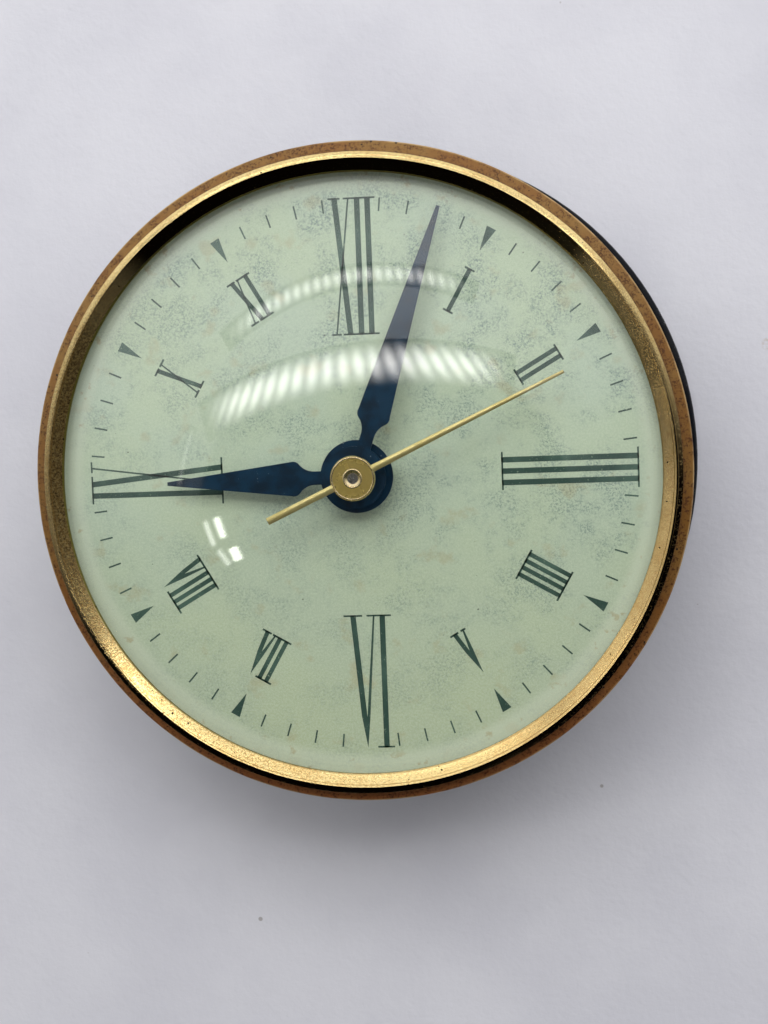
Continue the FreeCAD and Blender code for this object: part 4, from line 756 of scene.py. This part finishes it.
def roundBlade(name, reach, tip):
    turn = math.radians(bladeForm["turn"])
    along = Vector((math.sin(turn), math.cos(turn), 0.0)) * math.copysign(mm, reach)
    aside = Vector((math.cos(turn), -math.sin(turn), 0.0)) * mm
    builder = bmesh.new()
    rings = []
    for step in range(bladeForm["steps"] + 1):
        share = step / bladeForm["steps"]
        point = along * (bladeForm["start"] + (abs(reach) - bladeForm["start"]) * share)
        half = bladeForm["root"] + (tip - bladeForm["root"]) * share
        # the height of the pressing under this point
        above = point + Vector((0.0, 0.0, 1.0))
        seat = nodes["seconds_hand"].ray_cast(above, Vector((0.0, 0.0, -1.0)))[1].z
        ring = []
        for side in range(bladeForm["across"] + 1):
            t = 2 * side / bladeForm["across"] - 1
            up = seat + (1 - t * t) * half * bladeForm["crown"] * mm
            ring.append(builder.verts.new(point.xy.to_3d() + aside * t * half + Vector((0.0, 0.0, up))))
        for t in (1, -1):
            low = seat - bladeForm["seat"] * mm
            ring.append(builder.verts.new(point.xy.to_3d() + aside * t * half + Vector((0.0, 0.0, low))))
        rings.append(ring)
    for here, after in zip(rings, rings[1:]):
        for index in range(len(here)):
            follow = (index + 1) % len(here)
            builder.faces.new((here[index], after[index], after[follow], here[follow]))
    builder.faces.new(rings[0])
    builder.faces.new(rings[-1][::-1])
    shadeSmooth(builder, 35)
    pieceFromMesh(name, builder, wornGilt, "seconds_work")


rollHubEdges()
for name, (reach, tip) in bladeForm["ends"].items():
    roundBlade(name, reach, tip)
print("seconds hand's edges rolled")


# The dial's print, in millimetres. A stroke runs from the numeral's outer end to its
# inner end, and across is measured clockwise from the numeral's own radius.
printLook = {
    "thickness": 0.005,
    "register": (0.2, -0.13),  # how far off centre the print lies
    "large": {"inner": 22.2, "outer": 43.6, "notch": 38.6, "thick": 0.88, "thin": 0.27, "bar": 0.28},
    "small": {"inner": 29.1, "outer": 36.7, "notch": 32.6, "thick": 0.70, "thin": 0.25, "bar": 0.31},
    "minuteMark": {"inner": 41.5, "outer": 43.6, "wide": 0.26},
    "wedge": {"point": 39.7, "outer": 43.7, "wide": 1.6},
}

# hour: size, thick strokes and thin strokes as (across outside, across inside), bars at
# the outer and the inner end, and the V as (tip, thick leg inside, thin leg inside)
numerals = {
    12: ("large", [(-2.6, -0.75), (0.97, 0.97), (2.6, 2.6)], [(-0.4, -2.95)],
         [(-3.6, -1.7), (-1.2, 3.8)], [(-3.7, -2.2), (-1.9, 3.8)], None),
    1: ("small", [(0.0, 0.0)], [], [(-0.85, 0.85)], [(-0.85, 0.85)], None),
    2: ("small", [(-0.68, -0.68), (0.6, 0.6)], [], [(-1.4, 1.4)], [(-1.4, 1.4)], None),
    3: ("large", [(-1.78, -1.78), (0.0, 0.0), (1.8, 1.8)], [], [(-3.15, 3.15)], [(-3.0, 3.0)], None),
    4: ("small", [(-1.68, -1.68), (-0.5, -0.5), (0.68, 0.68), (1.9, 1.9)], [],
        [(-2.4, 2.8)], [(-2.4, 2.8)], None),
    5: ("small", [], [], [], [(-1.2, -0.3), (0.1, 1.6)], (0.05, 0.78, -0.78)),
    6: ("large", [(-2.5, -2.5)], [], [(-3.8, -1.1)], [(-3.9, 0.0), (0.7, 3.7)], (0.5, 2.2, -1.15)),
    7: ("small", [(-1.85, -1.85), (-0.65, -0.65)], [], [(-2.8, 0.05)], [(-2.7, 0.65), (0.9, 2.5)],
        (0.95, 1.65, 0.2)),
    8: ("small", [(-2.4, -2.4), (-1.25, -1.25), (-0.05, -0.05)], [], [(-3.4, 0.75)], [(-3.3, 3.2)],
        (1.65, 2.45, 0.9)),
    9: ("large", [(-1.86, -1.86), (-0.05, 2.15)], [(2.6, -0.4)],
        [(-3.2, 1.25), (1.85, 3.6)], [(-3.7, 0.5), (1.0, 3.7)], None),
    10: ("small", [(-0.6, 0.55)], [(0.6, -0.65)],
         [(-1.5, -0.15), (0.15, 1.5)], [(-1.5, -0.15), (0.15, 1.5)], None),
    11: ("small", [(-1.3, -0.1), (1.2, 1.2)], [(-0.2, -1.45)],
         [(-2.2, -0.75), (-0.5, 2.0)], [(-2.2, -0.75), (-0.5, 2.0)], None),
}


# a flat plate of ink whose corners are (across, radius) at a bearing on the dial
def inkPlate(builder, bearing, corners):
    area = sum(a[0] * b[1] - b[0] * a[1] for a, b in zip(corners, corners[1:] + corners[:1]))
    if area < 0:
        corners = corners[::-1]  # so that the plate's top faces up
    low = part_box("dial")[1].z
    aside, ahead = printLook["register"]
    levels = []
    for height in (low, low + printLook["thickness"] * mm):
        levels.append([
            builder.verts.new((
                (radius * math.sin(bearing) + across * math.cos(bearing) + aside) * mm,
                (radius * math.cos(bearing) - across * math.sin(bearing) + ahead) * mm,
                height,
            ))
            for across, radius in corners
        ])
    bottom, top = levels
    builder.faces.new(top)
    builder.faces.new(bottom[::-1])
    for index in range(len(corners)):
        after = (index + 1) % len(corners)
        builder.faces.new((bottom[index], bottom[after], top[after], top[index]))


# a V whose two legs run into one solid point outside the notch
def inkVee(builder, bearing, look, vee):
    tip, thick, thin = vee
    inner, outer, notch = look["inner"], look["outer"], look["notch"]
    share = (outer - notch) / (outer - inner)
    atNotch = [tip + (leg - tip) * share for leg in (thick, thin)]
    half = look["thick"] / 2
    lean = math.copysign(half, thick - thin)
    inkPlate(builder, bearing, [
        (tip, outer), (atNotch[0] + lean, notch), (thick + lean, inner), (thick - lean, inner),
        (atNotch[0] - lean, notch),
    ])
    edge = math.copysign(look["thin"] / 2, thin - thick)
    inkPlate(builder, bearing, [
        (tip, outer), (atNotch[0] - lean, notch), (thin - edge, inner), (thin + edge, inner),
        (atNotch[1] + edge, notch),
    ])


def printNumerals():
    builder = bmesh.new()
    for hour, (size, thicks, thins, outerBars, innerBars, vee) in numerals.items():
        look = printLook[size]
        bearing = math.radians(30 * hour)
        for strokes, wide in ((thicks, look["thick"]), (thins, look["thin"])):
            for outer, inner in strokes:
                inkPlate(builder, bearing, [
                    (outer - wide / 2, look["outer"]), (outer + wide / 2, look["outer"]),
                    (inner + wide / 2, look["inner"]), (inner - wide / 2, look["inner"]),
                ])
        if vee:
            inkVee(builder, bearing, look, vee)
        half = look["bar"] / 2
        for bars, radius in ((outerBars, look["outer"] - half), (innerBars, look["inner"] + half)):
            for low, high in bars:
                inkPlate(builder, bearing, [
                    (low, radius + half), (high, radius + half), (high, radius - half), (low, radius - half),
                ])
    pieceFromMesh("hour_numerals", builder, ink, "case")


def printMinuteTrack():
    builder = bmesh.new()
    mark = printLook["minuteMark"]
    wedge = printLook["wedge"]
    for minute in range(60):
        bearing = math.radians(6 * minute)
        if minute % 5:
            half = mark["wide"] / 2
            inkPlate(builder, bearing, [
                (-half, mark["outer"]), (half, mark["outer"]), (half, mark["inner"]), (-half, mark["inner"]),
            ])
        elif minute % 15:
            half = wedge["wide"] / 2
            inkPlate(builder, bearing, [
                (-half, wedge["outer"]), (half, wedge["outer"]), (0, wedge["point"]),
            ])
    pieceFromMesh("minute_track", builder, ink, "case")


ink = printedInk()
printNumerals()
printMinuteTrack()
print("dial printed")


# A plain pale board under the clock, with a few specks and faint stains.
floorLook = {
    "board": "DEDEE6", "cloud": "D6D6DF", "mark": "8C8480", "stain": "B9A99A",
    # millimetres across, and for spots their spacing and largest radius
    "patch": 40.0, "blots": (24.0, 1.6), "blotGrain": 1.2, "specks": (13.0, 0.5), "weave": 1.6,
    "half": 3.0,  # metres from the middle to each side
}


def makeFloor():
    half = floorLook["half"]
    builder = bmesh.new()
    corners = [(-half, -half), (half, -half), (half, half), (-half, half)]
    builder.faces.new([builder.verts.new((x, y, 0.0)) for x, y in corners])
    mesh = bpy.data.meshes.new("floor")
    builder.to_mesh(mesh)
    builder.free()
    floor = bpy.data.objects.new("floor", mesh)
    bpy.context.scene.collection.objects.link(floor)
    material, tree, shader, place = startMaterial("painted_board", {"Roughness": 0.8, "IOR": 1.45})
    patch = cloudMask(tree, place, floorLook["patch"], 0.35, 0.65)
    colour = overlay(tree, patch, 1.0, floorLook["board"], floorLook["cloud"])
    blots = speckMask(tree, place, *floorLook["blots"])
    grain = cloudMask(tree, place, floorLook["blotGrain"], 0.4, 0.6)
    blots = addNode(tree, "Math", {0: blots, 1: grain}, operation="MULTIPLY")
    colour = overlay(tree, blots, 0.6, colour, floorLook["stain"])
    specks = speckMask(tree, place, *floorLook["specks"])
    colour = overlay(tree, specks, 0.6, colour, floorLook["mark"])
    weave = cloudMask(tree, place, floorLook["weave"], 0.2, 0.8, 4.0)
    feed(tree, shader, {
        "Base Color": colour, "Normal": addNode(tree, "Bump", {"Height": weave, "Distance": 0.04 * mm}),
    })
    mesh.materials.append(material)


# The clock lies under a tent of light: a bright row of small lamps overhead towards
# twelve o'clock, white cloth beyond it, and the tent's dark mouth towards six. Each path
# is (start, middle, end) in metres. Lamps of a row stand in ranks that fan out, and gap
# is how bright the cloth stays between them.
tentLook = {
    "height": 1.0, "steps": 24,
    "fade": (0.18, 0.5),  # the share of a row's length, and of its width, that fades at each end
    "rows": {
        "near_row": {"path": ((-0.78, 0.20), (-0.12, 0.375), (0.56, 0.345)), "wide": 0.20,
                     "strength": 9.0, "lamps": 19, "gap": 0.45, "fan": 0.35},
        "far_row": {"path": ((-0.71, 0.57), (-0.15, 0.825), (0.44, 0.75)), "wide": 0.15,
                    "strength": 5.6, "lamps": 24, "gap": 0.4, "fan": 0.1},
        "side_row": {"path": ((-0.84, 0.19), (-0.90, 0.05), (-0.96, -0.10)), "wide": 0.05,
                     "strength": 1.6},
        "spot_one": {"path": ((-0.650, -0.325), (-0.638, -0.358), (-0.626, -0.392)), "wide": 0.085,
                     "strength": 16.0},
        "spot_two": {"path": ((-0.722, -0.195), (-0.705, -0.248), (-0.688, -0.300)), "wide": 0.07,
                     "strength": 12.0},
        "spot_three": {"path": ((-0.795, -0.215), (-0.775, -0.280), (-0.755, -0.345)), "wide": 0.055,
                       "strength": 6.0},
        "spot_four": {"path": ((-0.740, -0.345), (-0.710, -0.385), (-0.680, -0.420)), "wide": 0.06,
                      "strength": 5.0},
    },
    "lamp": "FFFEFA", "cloth": "FFFFFF", "mouth": "030202", "glow": 1.0,
    # how far the way to the cloth leans, and where along it the mouth ends and the cloth is full
    "lean": -0.06, "side": (-0.36, 0.60),
    # the dark roof: how its edge bows, where it ends, what it still sends, and how steeply
    # overhead it starts
    "bow": 1.1, "roof": (0.36, 0.44), "roofGlow": 0.04, "roofLevel": (0.5, 0.62),
}


# lamps behind cloth: u runs along the row and v across it, and both edges are soft
def lampMaterial(name, look):
    material = bpy.data.materials.new(name)
    material.use_nodes = True
    tree = material.node_tree
    tree.nodes.remove(tree.nodes["Principled BSDF"])
    sides = addNode(tree, "SeparateXYZ", {0: addNode(tree, "TexCoord", {}).outputs["UV"]})
    along, across = sides.outputs["X"], sides.outputs["Y"]
    glow = look["strength"]
    for side, soft in zip((along, across), tentLook["fade"]):
        middle = addNode(tree, "Math", {0: side, 1: 0.5}, operation="SUBTRACT")
        away = addNode(tree, "Math", {0: middle}, operation="ABSOLUTE")
        fade = addNode(tree, "MapRange", {0: away, 1: 0.5, 2: 0.5 - soft}, interpolation_type="SMOOTHSTEP")
        glow = addNode(tree, "Math", {0: fade, 1: glow}, operation="MULTIPLY")
    if "lamps" in look:
        # the lamps stand in short ranks that run away from the clock, so they fan out
        lean = addNode(tree, "Math", {0: along, 1: 0.5}, operation="SUBTRACT")
        lean = addNode(tree, "Math", {0: lean, 1: across}, operation="MULTIPLY")
        turned = addNode(tree, "Math", {0: lean, 1: look["fan"], 2: along}, operation="MULTIPLY_ADD")
        phase = addNode(tree, "Math", {0: turned, 1: 2 * math.pi * look["lamps"]}, operation="MULTIPLY")
        wave = addNode(tree, "Math", {0: phase}, operation="SINE")
        lit = addNode(tree, "MapRange", {0: wave, 1: -1.0, 2: 1.0, 3: look["gap"], 4: 1.0})
        glow = addNode(tree, "Math", {0: glow, 1: lit}, operation="MULTIPLY")
    shine = addNode(tree, "Emission", {"Color": tentLook["lamp"], "Strength": glow})
    feed(tree, tree.nodes["Material Output"], {"Surface": shine})
    return material


# a level strip whose middle line is the parabola through three points
def lampRow(name, look):
    steps = tentLook["steps"]
    start, middle, end = (Vector(point) for point in look["path"])
    builder = bmesh.new()
    uv = builder.loops.layers.uv.new("UVMap")
    pairs = []
    for index in range(steps + 1):
        t = index / steps
        point = start * (1 - t) * (1 - 2 * t) + middle * 4 * t * (1 - t) + end * t * (2 * t - 1)
        slope = start * (4 * t - 3) + middle * (4 - 8 * t) + end * (4 * t - 1)
        across = Vector((-slope.y, slope.x)).normalized() * look["wide"] / 2
        pairs.append([builder.verts.new((*(point + across * side), tentLook["height"])) for side in (-1, 1)])
    for index, (here, after) in enumerate(zip(pairs, pairs[1:])):
        face = builder.faces.new((here[0], here[1], after[1], after[0]))
        for loop, (ahead, side) in zip(face.loops, ((0, 0), (0, 1), (1, 1), (1, 0))):
            loop[uv].uv = ((index + ahead) / steps, side)
    mesh = bpy.data.meshes.new(name)
    builder.to_mesh(mesh)
    builder.free()
    mesh.materials.append(lampMaterial(name, look))
    row = bpy.data.objects.new(name, mesh)
    bpy.context.scene.collection.objects.link(row)


# Two lamps light the clock itself, both aimed at its dial. Metres and watts.
lampAim = (0.0, 0.0, 0.04)
lampLook = {
    "key": {"place": (0.04, 0.24, 0.45), "size": (0.5, 0.2), "power": 1.06},
    "fill": {"place": (0.0, -0.25, 1.1), "size": (0.9, 0.9), "power": 1.5},
}


def areaLamp(name, look):
    data = bpy.data.lights.new(name, "AREA")
    data.shape = "RECTANGLE"
    data.size, data.size_y = look["size"]
    data.energy = look["power"]
    lamp = bpy.data.objects.new(name, data)
    bpy.context.scene.collection.objects.link(lamp)
    lamp.location = look["place"]
    way = Vector(lampAim) - Vector(look["place"])
    lamp.rotation_euler = way.to_track_quat("-Z", "Y").to_euler()
    # only its light is wanted: what glass and metal show is the tent itself
    lamp.visible_glossy = False
    lamp.visible_transmission = False


def makeWorld():
    world = bpy.data.worlds.new("tent")
    bpy.context.scene.world = world
    world.use_nodes = True
    tree = world.node_tree
    way = addNode(tree, "SeparateXYZ", {0: addNode(tree, "TexCoord", {}).outputs["Generated"]})
    x, y, z = (way.outputs[axis] for axis in "XYZ")
    # white cloth towards twelve, the open mouth towards six
    turned = addNode(tree, "Math", {0: x, 1: tentLook["lean"], 2: y}, operation="MULTIPLY_ADD")
    start, full = tentLook["side"]
    side = addNode(tree, "MapRange", {0: turned, 1: start, 2: full}, interpolation_type="SMOOTHSTEP")
    # overhead it is dark, as far as the near row of lamps
    aside = addNode(tree, "Math", {0: x, 1: z}, operation="DIVIDE")
    ahead = addNode(tree, "Math", {0: y, 1: z}, operation="DIVIDE")
    bow = addNode(tree, "Math", {0: aside, 1: 4.0}, operation="POWER")
    bow = addNode(tree, "Math", {0: bow, 1: tentLook["bow"], 2: ahead}, operation="MULTIPLY_ADD")
    start, full = tentLook["roof"]
    cover = addNode(tree, "MapRange", {
        0: bow, 1: start, 2: full, 3: tentLook["roofGlow"], 4: 1.0,
    }, interpolation_type="SMOOTHSTEP")
    start, full = tentLook["roofLevel"]
    level = addNode(tree, "MapRange", {0: z, 1: start, 2: full}, interpolation_type="SMOOTHSTEP")
    overhead = addNode(tree, "Mix", {0: level, 2: 1.0, 3: cover})
    lit = addNode(tree, "Math", {0: side, 1: overhead}, operation="MULTIPLY")
    colour = addNode(tree, "Mix", {0: lit, 6: tentLook["mouth"], 7: tentLook["cloth"]}, data_type="RGBA")
    feed(tree, tree.nodes["Background"], {"Color": colour, "Strength": tentLook["glow"]})


makeFloor()
for rowName, rowLook in tentLook["rows"].items():
    lampRow(rowName, rowLook)
for lampName, look in lampLook.items():
    areaLamp(lampName, look)
makeWorld()
bpy.context.scene.view_settings.view_transform = "Standard"
print("studio lit")
